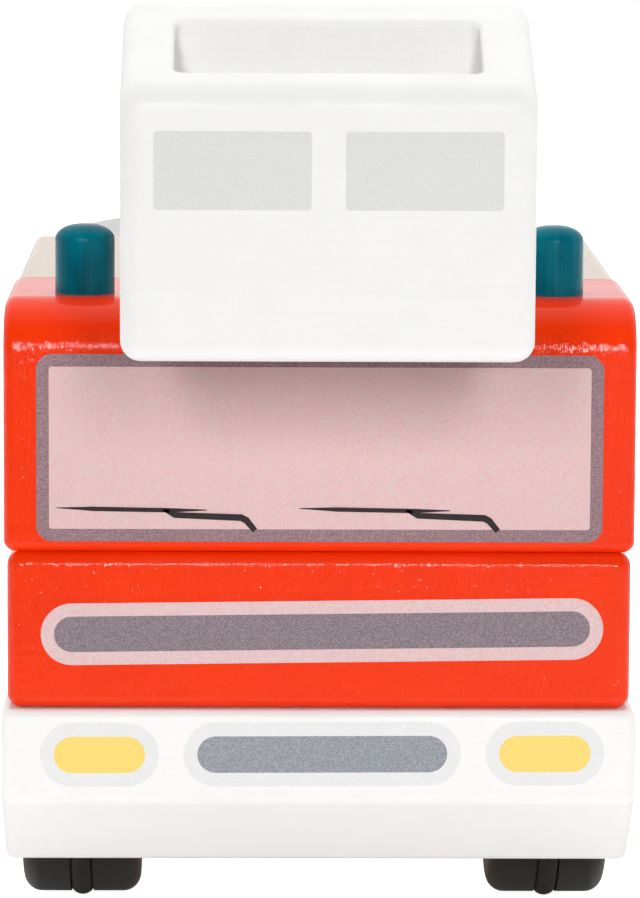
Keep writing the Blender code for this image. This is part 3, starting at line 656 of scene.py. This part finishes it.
def finish_board():
    low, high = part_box("body_board")
    shape = box_between(low, high)
    soften(shape, shape.edges[:], EDGE_ROUND, EDGE_STEPS)
    plank = mesh_object(shape, "plank")
    cutters = [round_cutter(joint, 2 * (high.x - low.x)) for joint in ("front_axle_spin", "rear_axle_spin")]
    for cutter in cutters:
        arch = plank.modifiers.new("arch", "BOOLEAN")
        arch.operation = "DIFFERENCE"
        arch.object = cutter
    cut_shape = bmesh.new()
    cut_shape.from_object(plank, bpy.context.evaluated_depsgraph_get())
    for helper in (plank, *cutters):
        bpy.data.objects.remove(helper)
    bmesh.ops.remove_doubles(cut_shape, verts=cut_shape.verts, dist=WELD)
    return finish_node("body_board", cut_shape, RED_PAINT)


print("board faces:", len(finish_board().data.polygons))

# %% [markdown]
# ### Bumpers
# Both bumpers are white blocks whose lower outer edge is cut off at a slant. A bisecting plane removes
# the corner and a fill closes the cut, exactly as a table saw would do it; then all edges are sanded.

# %% Bumpers
CHAMFER_HEIGHT = 0.0132
CHAMFER_DEPTH = 0.0165
BUMPER_ROUND = 0.0015
BUMPER_STEPS = 6


def finish_bumper(node, facing):
    """facing is -1 for the front bumper and 1 for the rear one."""
    low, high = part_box(node)
    shape = box_between(low, high + GLUE_LINE)
    outer = low.y if facing < 0 else high.y
    slice_off(shape, (0, outer, low.z + CHAMFER_HEIGHT), (0, facing * CHAMFER_HEIGHT, -CHAMFER_DEPTH))
    soften(shape, shape.edges[:], BUMPER_ROUND, BUMPER_STEPS)
    return finish_node(node, shape, WHITE_PAINT)


print("bumpers:", finish_bumper("front_bumper", -1).name, finish_bumper("rear_bumper", 1).name)

# %% [markdown]
# ## Turned pieces
# Wheels, rubber rings, beacons, the turntable and its pin all come off a lathe. Each is a half profile
# of radius and height, spun once round its axis; arcs in the profile give the rounded edges.

# %% Lathe
SPIN_STEPS = 96


def lathe(profile, placing, closed=False):
    """Spins points of (radius, height) about Z, then puts the shape in its place."""
    shape = bmesh.new()
    points = [shape.verts.new((radius, 0, height)) for radius, height in profile]
    ends = zip(points, points[1:] + points[:1] if closed else points[1:])
    lines = [shape.edges.new(pair) for pair in ends]
    bmesh.ops.spin(shape, geom=points + lines, cent=(0, 0, 0), axis=(0, 0, 1), angle=math.tau,
                   steps=SPIN_STEPS, use_merge=True)
    bmesh.ops.remove_doubles(shape, verts=shape.verts, dist=WELD)
    bmesh.ops.transform(shape, matrix=placing, verts=shape.verts)
    return shape


print("lathe steps:", SPIN_STEPS)

# %% [markdown]
# ### Wheels and rubber rings
# The wheels are turned from wood and painted black: a dished outer face, generous rounding of the tread
# and a half-round groove in which a rubber ring sits. The ring is what the truck really stands on.

# %% Wheels
WHEEL_EDGE = 0.003
WHEEL_EDGE_STEPS = 10
GROOVE_STEPS = 16
RING_STEPS = 24
HUB_RADIUS = 0.0085
RIM_RADIUS = 0.0155
DISH_DEPTH = 0.0012
AXLE_RADIUS = 0.004
CORD = 0.0042
SEAT_GAP = 0.0003
SIDES = {"left": -1, "right": 1}
MM = 1000


def wheel_profile(radius, width):
    half = width / 2
    shoulder = radius - WHEEL_EDGE
    groove_radius = CORD / 2 + SEAT_GAP
    groove_centre = AXLE_HEIGHT - CORD / 2
    mouth = math.degrees(math.acos((radius - groove_centre) / groove_radius))
    bore = AXLE_RADIUS + SEAT_GAP
    face = [(bore, half), (HUB_RADIUS, half), (HUB_RADIUS + DISH_DEPTH, half - DISH_DEPTH),
            (RIM_RADIUS - DISH_DEPTH, half - DISH_DEPTH), (RIM_RADIUS, half)]
    return (face + arc((shoulder, half - WHEEL_EDGE), WHEEL_EDGE, 90, 0, WHEEL_EDGE_STEPS)
            + arc((groove_centre, 0), groove_radius, mouth, 360 - mouth, GROOVE_STEPS)
            + arc((shoulder, WHEEL_EDGE - half), WHEEL_EDGE, 0, -90, WHEEL_EDGE_STEPS) + [(bore, -half)])


def finish_wheel(end, side, sign):
    wheel, tyre = end + "_wheel_" + side, end + "_tyre_" + side
    low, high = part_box(wheel)
    placing = Matrix.Translation((low + high) / 2) @ Matrix.Rotation(sign * math.radians(90), 4, "Y")
    shape = lathe(wheel_profile((high.z - low.z) / 2, high.x - low.x), placing, closed=True)
    finish_node(wheel, shape, BLACK_PAINT)
    ring = arc((AXLE_HEIGHT - CORD / 2, 0), CORD / 2, 0, 360 - 360 / RING_STEPS, RING_STEPS - 1)
    finish_node(tyre, lathe(ring, placing, closed=True), BLACK_RUBBER)


for end in ("front", "rear"):
    for side, sign in SIDES.items():
        finish_wheel(end, side, sign)
WHEEL_LOW, WHEEL_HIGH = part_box("front_wheel_left")
print("wheel width in mm:", round(MM * (WHEEL_HIGH.x - WHEEL_LOW.x), 1))

# %% [markdown]
# ### Beacons
# Two teal dowels stand in holes in the cab's roof. Their tops are rounded over, and the stain lets the
# wood's fibres show as darker upright streaks.

# %% Beacons
CROWN_WIDTH = 0.0040
CROWN_HEIGHT = 0.0024
CROWN_STEPS = 14


def finish_beacon(side):
    low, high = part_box("beacon_" + side)
    radius = (high.x - low.x) / 2
    height = high.z - low.z
    crown = [(radius - CROWN_WIDTH + CROWN_WIDTH * across, height - CROWN_HEIGHT + CROWN_HEIGHT * up)
             for across, up in arc((0, 0), 1.0, 90, 0, CROWN_STEPS)]
    foot = Matrix.Translation(((low.x + high.x) / 2, (low.y + high.y) / 2, low.z))
    shape = lathe([(0, height), *crown, (radius, 0), (0, 0)], foot)
    return finish_node("beacon_" + side, shape, TEAL_PAINT)


print("beacons:", [finish_beacon(side).name for side in SIDES])

# %% [markdown]
# ### Turntable and its pin
# The ladder stands on a grey disc that turns on a headed pin. The disc's rim is only just broken, as on
# any turned disc that a child's finger runs along.

# %% Turntable
DISC_ROUND = 0.0012
TURNED_STEPS = 6
PIN_HEAD_RADIUS = 0.010
PIN_HEAD_HEIGHT = 0.004
PIN_HEAD_ROUND = 0.0015
PIN_RADIUS = 0.005
PIVOT = Vector(JOINTS["turntable_swivel"]["pos_m"])


def finish_turntable():
    low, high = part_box("turntable_disc")
    radius = (high.x - low.x) / 2
    top = high.z - low.z
    rim = arc((radius - DISC_ROUND, top - DISC_ROUND), DISC_ROUND, 90, 0, TURNED_STEPS)
    base = Matrix.Translation((PIVOT.x, PIVOT.y, low.z))
    bore = PIN_RADIUS + SEAT_GAP
    shape = lathe([(bore, top), *rim, (radius, 0), (bore, 0)], base, closed=True)
    return finish_node("turntable_disc", shape, GREY_PAINT)


def finish_pin():
    low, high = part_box("turntable_pin")
    head = high.z - low.z
    neck = head - PIN_HEAD_HEIGHT
    corner = (PIN_HEAD_RADIUS - PIN_HEAD_ROUND, head - PIN_HEAD_ROUND)
    crown = arc(corner, PIN_HEAD_ROUND, 90, 0, TURNED_STEPS)
    profile = [(0, head), *crown, (PIN_HEAD_RADIUS, neck), (PIN_RADIUS, neck), (PIN_RADIUS, 0), (0, 0)]
    shape = lathe(profile, Matrix.Translation((PIVOT.x, PIVOT.y, low.z)))
    return finish_node("turntable_pin", shape, BEECH_ALONG["Z"])


print("turntable:", finish_turntable().name, finish_pin().name)

# %% [markdown]
# ## Boards cut to an outline
# The cheeks, the ladder rest, the rails and the basket's tongue are flat boards cut to a side view. One
# face with the outline is pushed across the truck and its edges are broken with a small bevel.

# %% Outline boards
BOARD_EDGE = 0.0007
BOARD_EDGE_STEPS = 4
LIFT = Vector(JOINTS["ladder_lift"]["pos_m"])
TIP = Vector(JOINTS["basket_tilt"]["pos_m"])
LADDER_SLOPE = math.atan2(LIFT.z - TIP.z, LIFT.y - TIP.y)
LADDER_LENGTH = (LIFT - TIP).length


def finish_side_board(node, outline, placing, material):
    """A board as wide as its node, cut to its side view, with broken edges, in its place."""
    low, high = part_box(node)
    shape = push_across(outline, low.x, high.x)
    soften(shape, sharp_edges(shape), BOARD_EDGE, BOARD_EDGE_STEPS)
    bmesh.ops.transform(shape, matrix=placing, verts=shape.verts)
    return finish_node(node, shape, material)


print("ladder slope in degrees:", round(math.degrees(LADDER_SLOPE), 2))
print("ladder length in mm:", round(MM * LADDER_LENGTH, 1))

# %% [markdown]
# ### Cheeks and ladder rest
# Two cheeks hold the ladder's pivot, and a post with a slanted top carries the ladder at rest. A cheek's
# straight sides meet its round top without a kink: the arc starts where a line from the foot touches it.

# %% Cheeks and ladder rest
CHEEK_TOP_RADIUS = 0.0085
CHEEK_STEPS = 28
CHEEK_BASE = 0.026
REST_THICKNESS = 0.010
DISC_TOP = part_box("turntable_disc")[1].z
SEAT = DISC_TOP + SEAT_GAP - LIFT.z


def finish_cheek(side):
    corner = Vector((CHEEK_BASE / 2, SEAT))
    touch = math.degrees(math.atan2(corner.y, corner.x) + math.acos(CHEEK_TOP_RADIUS / corner.length))
    crown = arc((0, 0), CHEEK_TOP_RADIUS, touch, 180 - touch, CHEEK_STEPS)
    outline = [tuple(corner), *crown, (-corner.x, corner.y)]
    placing = Matrix.Translation((0, LIFT.y, LIFT.z))
    return finish_side_board("cheek_" + side, outline, placing, GREY_PAINT)


def finish_rest():
    low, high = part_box("ladder_rest")
    along = (low.y + high.y) / 2
    half = REST_THICKNESS / 2
    drop = REST_THICKNESS * math.tan(LADDER_SLOPE)
    foot = DISC_TOP + SEAT_GAP
    outline = [(-half, foot), (half, foot), (half, high.z), (-half, high.z - drop)]
    return finish_side_board("ladder_rest", outline, Matrix.Translation((0, along, 0)), GREY_PAINT)


print("on the disc:", [finish_cheek(side).name for side in SIDES], finish_rest().name)

# %% [markdown]
# ### Ladder
# Two rails with round ends, joined by dowel rungs whose ends show as small discs on the rails' outer
# faces. The ladder slopes a little down towards the basket, so all of it is turned about its pivot.
# The hinge pins and the axles are dowels as well, and the same function makes them.

# %% Ladder rails, rungs and pins
RAIL_HEIGHT = 0.009
ROUND_END_STEPS = 20
RUNG_RADIUS = 0.0025
BASKET_PIN_RADIUS = 0.0025
LADDER_PIVOT_RADIUS = 0.003
PEG_STEPS = 40
PEG_EDGE = 0.0003
PEG_EDGE_STEPS = 2
PEG_PROUD = 0.00015
ON_LADDER = Matrix.Translation(LIFT) @ Matrix.Rotation(LADDER_SLOPE, 4, "X")


def finish_rail(side):
    half = RAIL_HEIGHT / 2
    near_end = arc((0, 0), half, -90, 90, ROUND_END_STEPS)
    outline = near_end + arc((-LADDER_LENGTH, 0), half, 90, 270, ROUND_END_STEPS)
    return finish_side_board("ladder_rail_" + side, outline, ON_LADDER, BEECH_ALONG["Y"])


def finish_peg(node, radius):
    """A dowel across the truck, through the middle of its node."""
    low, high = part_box(node)
    shape = cylinder(radius, high.x - low.x + 2 * PEG_PROUD, PEG_STEPS)
    soften(shape, sharp_edges(shape), PEG_EDGE, PEG_EDGE_STEPS)
    bmesh.ops.translate(shape, vec=(low + high) / 2, verts=shape.verts)
    return finish_node(node, shape, BEECH_ALONG["X"])


PEGS = {node: RUNG_RADIUS for node in sorted(frame["nodes"]) if node.startswith("rung_")}
PEGS.update({"basket_pin": BASKET_PIN_RADIUS, "ladder_pivot": LADDER_PIVOT_RADIUS})
PEGS.update({"front_axle": AXLE_RADIUS, "rear_axle": AXLE_RADIUS})
for peg, peg_radius in PEGS.items():
    finish_peg(peg, peg_radius)
print("rails:", [finish_rail(side).name for side in SIDES], "pegs:", len(PEGS))

# %% [markdown]
# ## Rescue basket
# The basket is a white block, hinged to the ladder's tip, whose top slopes down to the front. A slanted
# cut makes the top and a bevel rounds every edge. The pocket comes last: the top is inset to the
# pocket's outline and pushed down to a level floor, then its corners, rim and floor are rounded.

# %% Basket
BASKET_TILT = math.radians(2.7)
BASKET_WIDTH = 0.060
BASKET_LENGTH = 0.0303
BASKET_FRONT_HEIGHT = 0.0397
BASKET_TOP_SLOPE = math.radians(19.3)
BASKET_FLOOR = 0.0205
FRONT_WALL = 0.006
REAR_WALL = 0.008
SIDE_WALL = 0.0077
BASKET_ROUND = 0.003
POCKET_ROUND = 0.0015
POCKET_STEPS = 8
RIM_ROUND = 0.0009
RIM_STEPS = 5
# These places are counted from the hinge pin.
BASKET_BACK = -0.0064
BASKET_FRONT = BASKET_BACK - BASKET_LENGTH
BASKET_BOTTOM = -0.0158
BASKET_FRONT_TOP = BASKET_BOTTOM + BASKET_FRONT_HEIGHT
POCKET_FLOOR = BASKET_BOTTOM + BASKET_FLOOR
POCKET_FRONT = BASKET_FRONT + FRONT_WALL
POCKET_BACK = BASKET_BACK - REAR_WALL
ON_BASKET = Matrix.Translation(TIP) @ Matrix.Rotation(BASKET_TILT, 4, "X")


def top_at(along):
    """Height of the sloping top at a place along the basket."""
    return BASKET_FRONT_TOP + (along - BASKET_FRONT) * math.tan(BASKET_TOP_SLOPE)


def basket_block():
    half = BASKET_WIDTH / 2
    above = top_at(BASKET_BACK) + BASKET_FLOOR
    shape = box_between(Vector((-half, BASKET_FRONT, BASKET_BOTTOM)), Vector((half, BASKET_BACK, above)))
    upward = (0, -math.sin(BASKET_TOP_SLOPE), math.cos(BASKET_TOP_SLOPE))
    slice_off(shape, (0, BASKET_FRONT, BASKET_FRONT_TOP), upward)
    soften(shape, shape.edges[:], BASKET_ROUND, EDGE_STEPS)
    return shape


def open_pocket(shape):
    shape.normal_update()
    upper = [face for face in shape.faces if face.normal.z > abs(face.normal.y)]
    top = max(upper, key=lambda face: face.calc_area())
    bmesh.ops.inset_region(shape, faces=[top], thickness=RIM_ROUND)
    for vert in top.verts:
        vert.co.x = math.copysign(BASKET_WIDTH / 2 - SIDE_WALL, vert.co.x)
        vert.co.y = POCKET_FRONT if vert.co.y < (POCKET_FRONT + POCKET_BACK) / 2 else POCKET_BACK
        vert.co.z = top_at(vert.co.y)
    floor = bmesh.ops.extrude_discrete_faces(shape, faces=[top])["faces"][0]
    for vert in floor.verts:
        vert.co.z = POCKET_FLOOR
    upright = [edge for vert in floor.verts for edge in vert.link_edges if edge not in set(floor.edges)]
    soften(shape, upright, POCKET_ROUND, POCKET_STEPS)
    for level in (top_at, lambda along: POCKET_FLOOR):
        loop = [edge for edge in sharp_edges(shape)
                if all(abs(vert.co.z - level(vert.co.y)) < TOUCH for vert in edge.verts)]
        soften(shape, loop, RIM_ROUND, RIM_STEPS)


def finish_basket():
    shape = basket_block()
    open_pocket(shape)
    bmesh.ops.transform(shape, matrix=ON_BASKET, verts=shape.verts)
    return finish_node("basket", shape, WHITE_PAINT)


def finish_tongue():
    half = RAIL_HEIGHT / 2
    shoulder = BASKET_BACK + SEAT_GAP
    outline = [*arc((0, 0), half, -90, 90, ROUND_END_STEPS), (shoulder, half), (shoulder, -half)]
    return finish_side_board("basket_tongue", outline, ON_BASKET, BEECH_ALONG["Y"])


print("basket faces:", len(finish_basket().data.polygons), finish_tongue().name)

# %% [markdown]
# ## Inks
# Windscreen, lamps and windows are printed on the painted wood. A print could be a mask in the paint's
# material, but a thin film of its own keeps its outline crisp in every view and can be repainted alone.
# The ink is grainy: through its pinholes the paint below shows as tiny dots.

# %% Ink materials
INK_SPECULAR = 0.2
INK_ROUGHNESS = (0.30, 0.42)
THICK_INK = 0.82
PINHOLE_SHARE = 0.2
INK_PEEL = 0.00006


def ink(name, colour, below, pinholes, clouds=0.12, size=0.00017):
    material, tree, shader, place = start_material(name, INK_SPECULAR)
    grain = use_group(tree, INK_GRAIN, Vector=place, Size=size)
    skin = use_group(tree, PAINT_SKIN, Vector=place)
    cloudy = mix_colours(tree, calc(tree, "MULTIPLY", grain["Clouds"], clouds), rgb(*colour),
                         rgb(*(THICK_INK * part for part in colour)))
    dotted = mix_colours(tree, calc(tree, "MULTIPLY", grain["Pinholes"], pinholes), cloudy, rgb(*below))
    fill(tree, shader.inputs["Base Color"], dotted)
    vary_roughness(tree, shader, grain["Pinholes"], *INK_ROUGHNESS)
    holes = calc(tree, "MULTIPLY", grain["Pinholes"], PINHOLE_SHARE)
    raise_surface(tree, shader, calc(tree, "SUBTRACT", skin["Peel"], holes), INK_PEEL)
    return material


RED_BELOW = (0.80, 0.34, 0.32)
WHITE_BELOW = (0.93, 0.925, 0.915)
FRAME_INK = ink("frame_ink", (0.225, 0.135, 0.160), (0.405, 0.265, 0.285), pinholes=0.9)
PANE_INK = ink("pane_ink", (0.725, 0.580, 0.590), RED_BELOW, pinholes=0.58)
STRIPE_EDGE_INK = ink("stripe_edge_ink", (0.740, 0.630, 0.640), RED_BELOW, pinholes=0.65)
STRIPE_INK = ink("stripe_ink", (0.185, 0.150, 0.175), (0.350, 0.280, 0.305), pinholes=0.9)
WIPER_INK = ink("wiper_ink", (0.020, 0.014, 0.016), (0.06, 0.03, 0.03), pinholes=0.30)
LAMP_EDGE_INK = ink("lamp_edge_ink", (0.80, 0.81, 0.815), WHITE_BELOW, pinholes=0.50)
LAMP_INK = ink("lamp_ink", (0.98, 0.70, 0.155), (0.99, 0.80, 0.30), pinholes=0.50)
GRILLE_INK = ink("grille_ink", (0.245, 0.265, 0.305), (0.430, 0.450, 0.480), pinholes=0.9)
BASKET_INK = ink("basket_ink", (0.75, 0.75, 0.725), (0.86, 0.855, 0.83), pinholes=0.5)
TAIL_INK = ink("tail_ink", (0.86, 0.055, 0.025), (0.92, 0.20, 0.15), pinholes=0.35)
print("inks:", len([material for material in bpy.data.materials if material.name.endswith("_ink")]))

# %% [markdown]
# ### Films
# A film starts as one flat quad with its corners rounded; a ring is the same with its middle taken out.
# It gets a paper-thin thickness and is laid against the face that carries the print.

# %% Film shapes
FILM = 0.00005
CORNER_STEPS = 12


def against(outward, origin):
    """Lays a flat drawing on a face: its z along outward, its y as upright as it can be."""
    out = Vector(outward).normalized()
    side = Vector((0, 0, 1)).cross(out).normalized()
    up = out.cross(side)
    return Matrix.Translation(origin) @ Matrix((side, up, out)).transposed().to_4x4()


def rounded_film(width, height, corner, ring=0.0):
    shape = bmesh.new()
    bmesh.ops.create_grid(shape, x_segments=1, y_segments=1, size=0.5)
    bmesh.ops.scale(shape, vec=(width, height, 1), verts=shape.verts)
    soften(shape, shape.verts[:], corner, CORNER_STEPS, affect="VERTICES")
    bmesh.ops.remove_doubles(shape, verts=shape.verts, dist=WELD)
    if ring:
        rim = bmesh.ops.inset_region(shape, faces=shape.faces[:], thickness=ring, use_boundary=True,
                                     use_even_offset=True)["faces"]
        middle = [face for face in shape.faces if face not in set(rim)]
        bmesh.ops.delete(shape, geom=middle, context="FACES")
    return shape


def lay_film(shape, name, material, body, placing, centre=(0, 0), lift=0.0, turn=0.0):
    """Thickens a flat drawing and lays it on a face, turned, with its middle at a place on that face."""
    bmesh.ops.solidify(shape, geom=shape.faces[:], thickness=FILM)
    bmesh.ops.rotate(shape, cent=(0, 0, 0), matrix=Matrix.Rotation(turn, 3, "Z"), verts=shape.verts)
    lowest = min(vert.co.z for vert in shape.verts)
    bmesh.ops.translate(shape, vec=(*centre, lift - lowest), verts=shape.verts)
    bmesh.ops.transform(shape, matrix=placing, verts=shape.verts)
    place_piece(shape, name + "_print", material, body)


print("film thickness in mm:", MM * FILM)

# %% [markdown]
# ### Windscreen and wipers
# A grey frame with a pale pane fills the cab's front. Two wipers lie on it: each has a blade that tapers
# to both ends and an arm with a kink. A short edge is pushed from station to station to draw them.

# %% Windscreen
WINDSCREEN = (0.0895, 0.0298)
WINDSCREEN_CENTRE = (0, 0.0827)
FRAME_CORNER = 0.0025
FRAME_BAND = 0.0020
WIPER_SPACING = 0.0384
BLADE = ((-0.0416, 0.07315, 0.00010), (-0.0357, 0.07300, 0.00070), (-0.0237, 0.07280, 0.00070),
         (-0.0178, 0.07285, 0.00016))
ARM = ((-0.0247, 0.07290, 0.00040), (-0.0229, 0.07205, 0.00095), (-0.0124, 0.07165, 0.00110),
       (-0.0116, 0.07125, 0.00110), (-0.0102, 0.06960, 0.00090))
ON_CAB_FRONT = against((0, -1, 0), (0, CAB_FRONT, 0))


def ribbon(stations):
    """A flat strip through stations of (x, y, thickness), square to its run."""
    shape = bmesh.new()
    runs = [(Vector(later[:2]) - Vector(earlier[:2])).normalized()
            for earlier, later in zip(stations, stations[1:])]
    bends = [runs[0]] + [(before + after).normalized() for before, after in zip(runs, runs[1:])] + [runs[-1]]

    def spots(station, run):
        across = Vector((-run.y, run.x)) * station[2] / 2
        middle = Vector(station[:2])
        return [(*(middle + across), 0), (*(middle - across), 0)]

    edge = shape.edges.new([shape.verts.new(spot) for spot in spots(stations[0], bends[0])])
    for station, run in zip(stations[1:], bends[1:]):
        grown = bmesh.ops.extrude_edge_only(shape, edges=[edge])["geom"]
        rim = [item for item in grown if isinstance(item, bmesh.types.BMEdge) and len(item.link_faces) == 1]
        edge = next(item for item in rim if all(vert in grown for vert in item.verts))
        upper, lower = edge.verts
        upper.co, lower.co = spots(station, run)
    return shape


def print_framed(names, inks, size, corner, band, placing, centre=(0, 0), turn=0.0):
    """A band of the first ink round a middle of the second, on a face of the truck."""
    width, height = size
    border = rounded_film(width, height, corner, band)
    lay_film(border, names[0], inks[0], "truck", placing, centre, turn=turn)
    middle = rounded_film(width - 2 * band, height - 2 * band, corner - band)
    lay_film(middle, names[1], inks[1], "truck", placing, centre, turn=turn)


def print_window(names, size, placing, centre=(0, 0)):
    print_framed(names, (FRAME_INK, PANE_INK), size, FRAME_CORNER, FRAME_BAND, placing, centre)


def print_wipers(side, shift):
    for title, stations in (("blade", BLADE), ("arm", ARM)):
        name = "wiper_" + title + "_" + side
        lay_film(ribbon(stations), name, WIPER_INK, "truck", ON_CAB_FRONT, (shift, 0), FILM)


print_window(("windscreen_frame", "windscreen"), WINDSCREEN, ON_CAB_FRONT, WINDSCREEN_CENTRE)
print_wipers("left", 0)
print_wipers("right", WIPER_SPACING)
print("windscreen in mm:", [MM * length for length in WINDSCREEN])

# %% [markdown]
# ### Pill-shaped prints
# The stripe on the board, the headlamps, the grille and the tail lamps are all the same figure: a pill
# of colour inside a pill-shaped edge. It is the windscreen's figure with its corners fully rounded.

# %% Stripe, lamps and grille
ON_BOARD_FRONT = against((0, -1, 0), (0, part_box("body_board")[0].y, 0))
ON_BUMPER_FRONT = against((0, -1, 0), (0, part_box("front_bumper")[0].y, 0))
ON_BUMPER_REAR = against((0, 1, 0), (0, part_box("rear_bumper")[1].y, 0))
LAMP_Z = 0.0338
LAMP_SIZE = (0.0189, 0.0103)
LAMP_BAND = 0.0022
LAMP_SPACING = 0.0354
LAMP_SHIFT = 0.0006
LAMP_TURN = math.radians(0.28)
GRILLE_SIZE = (0.0441, 0.0103)
STRIPE_SIZE = (0.0892, 0.0099)
STRIPE_BAND = 0.0021
STRIPE_CENTRE = (0.0005, 0.0534)
STRIPE_TURN = math.radians(0.76)


def print_pill(name, inks, size, band, placing, centre, turn=0.0):
    print_framed((name + "_edge", name), inks, size, size[1] / 2, band, placing, centre, turn)


def print_lamp_row(name, across, size, fill_ink):
    """One of the bumper's front prints; the whole row sits a little askew."""
    centre = (across + LAMP_SHIFT, LAMP_Z + across * math.tan(LAMP_TURN))
    print_pill(name, (LAMP_EDGE_INK, fill_ink), size, LAMP_BAND, ON_BUMPER_FRONT, centre, LAMP_TURN)


print_pill("stripe", (STRIPE_EDGE_INK, STRIPE_INK), STRIPE_SIZE, STRIPE_BAND, ON_BOARD_FRONT, STRIPE_CENTRE,
           STRIPE_TURN)
print_lamp_row("grille", 0, GRILLE_SIZE, GRILLE_INK)
for side, sign in SIDES.items():
    print_lamp_row("headlamp_" + side, sign * LAMP_SPACING, LAMP_SIZE, LAMP_INK)
    print_pill("tail_lamp_" + side, (LAMP_EDGE_INK, TAIL_INK), LAMP_SIZE, LAMP_BAND, ON_BUMPER_REAR,
               (-sign * LAMP_SPACING, LAMP_Z))
print("pills: stripe, grille, headlamps, tail lamps")

# %% [markdown]
# ### Basket and side windows
# The basket's front has two pale windows. The cab's sides carry one window each in the style of the
# windscreen.

# %% Windows
BASKET_WINDOW = (0.0227, 0.01135)
BASKET_WINDOW_CORNER = 0.0006
BASKET_WINDOW_GAP = 0.0049
BASKET_WINDOW_DROP = 0.0059
SIDE_WINDOW = (0.0215, 0.0240)
SIDE_WINDOW_Z = 0.0850
CAB_LOW, CAB_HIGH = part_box("cab_block")
ON_BASKET_FRONT = ON_BASKET @ against((0, -1, 0), (0, BASKET_FRONT, 0))


def print_basket_windows():
    width, height = BASKET_WINDOW
    for side, sign in SIDES.items():
        centre = (sign * (width + BASKET_WINDOW_GAP) / 2, BASKET_FRONT_TOP - BASKET_WINDOW_DROP - height / 2)
        pane = rounded_film(width, height, BASKET_WINDOW_CORNER)
        lay_film(pane, "basket_window_" + side, BASKET_INK, "rescue_basket", ON_BASKET_FRONT, centre)


def print_side_window(side, sign):
    face = CAB_HIGH.x if sign > 0 else CAB_LOW.x
    placing = against((sign, 0, 0), (face, (CAB_LOW.y + CAB_HIGH.y) / 2, SIDE_WINDOW_Z))
    print_window(("side_frame_" + side, "side_window_" + side), SIDE_WINDOW, placing)


print_basket_windows()
for side, sign in SIDES.items():
    print_side_window(side, sign)
print("windows printed on the basket and both sides of the cab")

# %% [markdown]
# ## What stays as it is
# The chassis beam and the glue dowels are hidden or plain, so their solids stay and only get the beech.

# %% Plain nodes
PLAIN = [node for node in frame["nodes"] if node == "chassis_beam" or "_dowel_" in node]
for node in PLAIN:
    along = "Y" if node == "chassis_beam" or "bumper" in node else "Z"
    slots = frame["nodes"][node].data.materials
    slots.clear()
    slots.append(BEECH_ALONG[along])
print("plain nodes:", len(PLAIN))

# %% [markdown]
# ## Colour as written
# The Standard view shows colours as they are written.

# %% Finish
bpy.context.scene.view_settings.view_transform = "Standard"
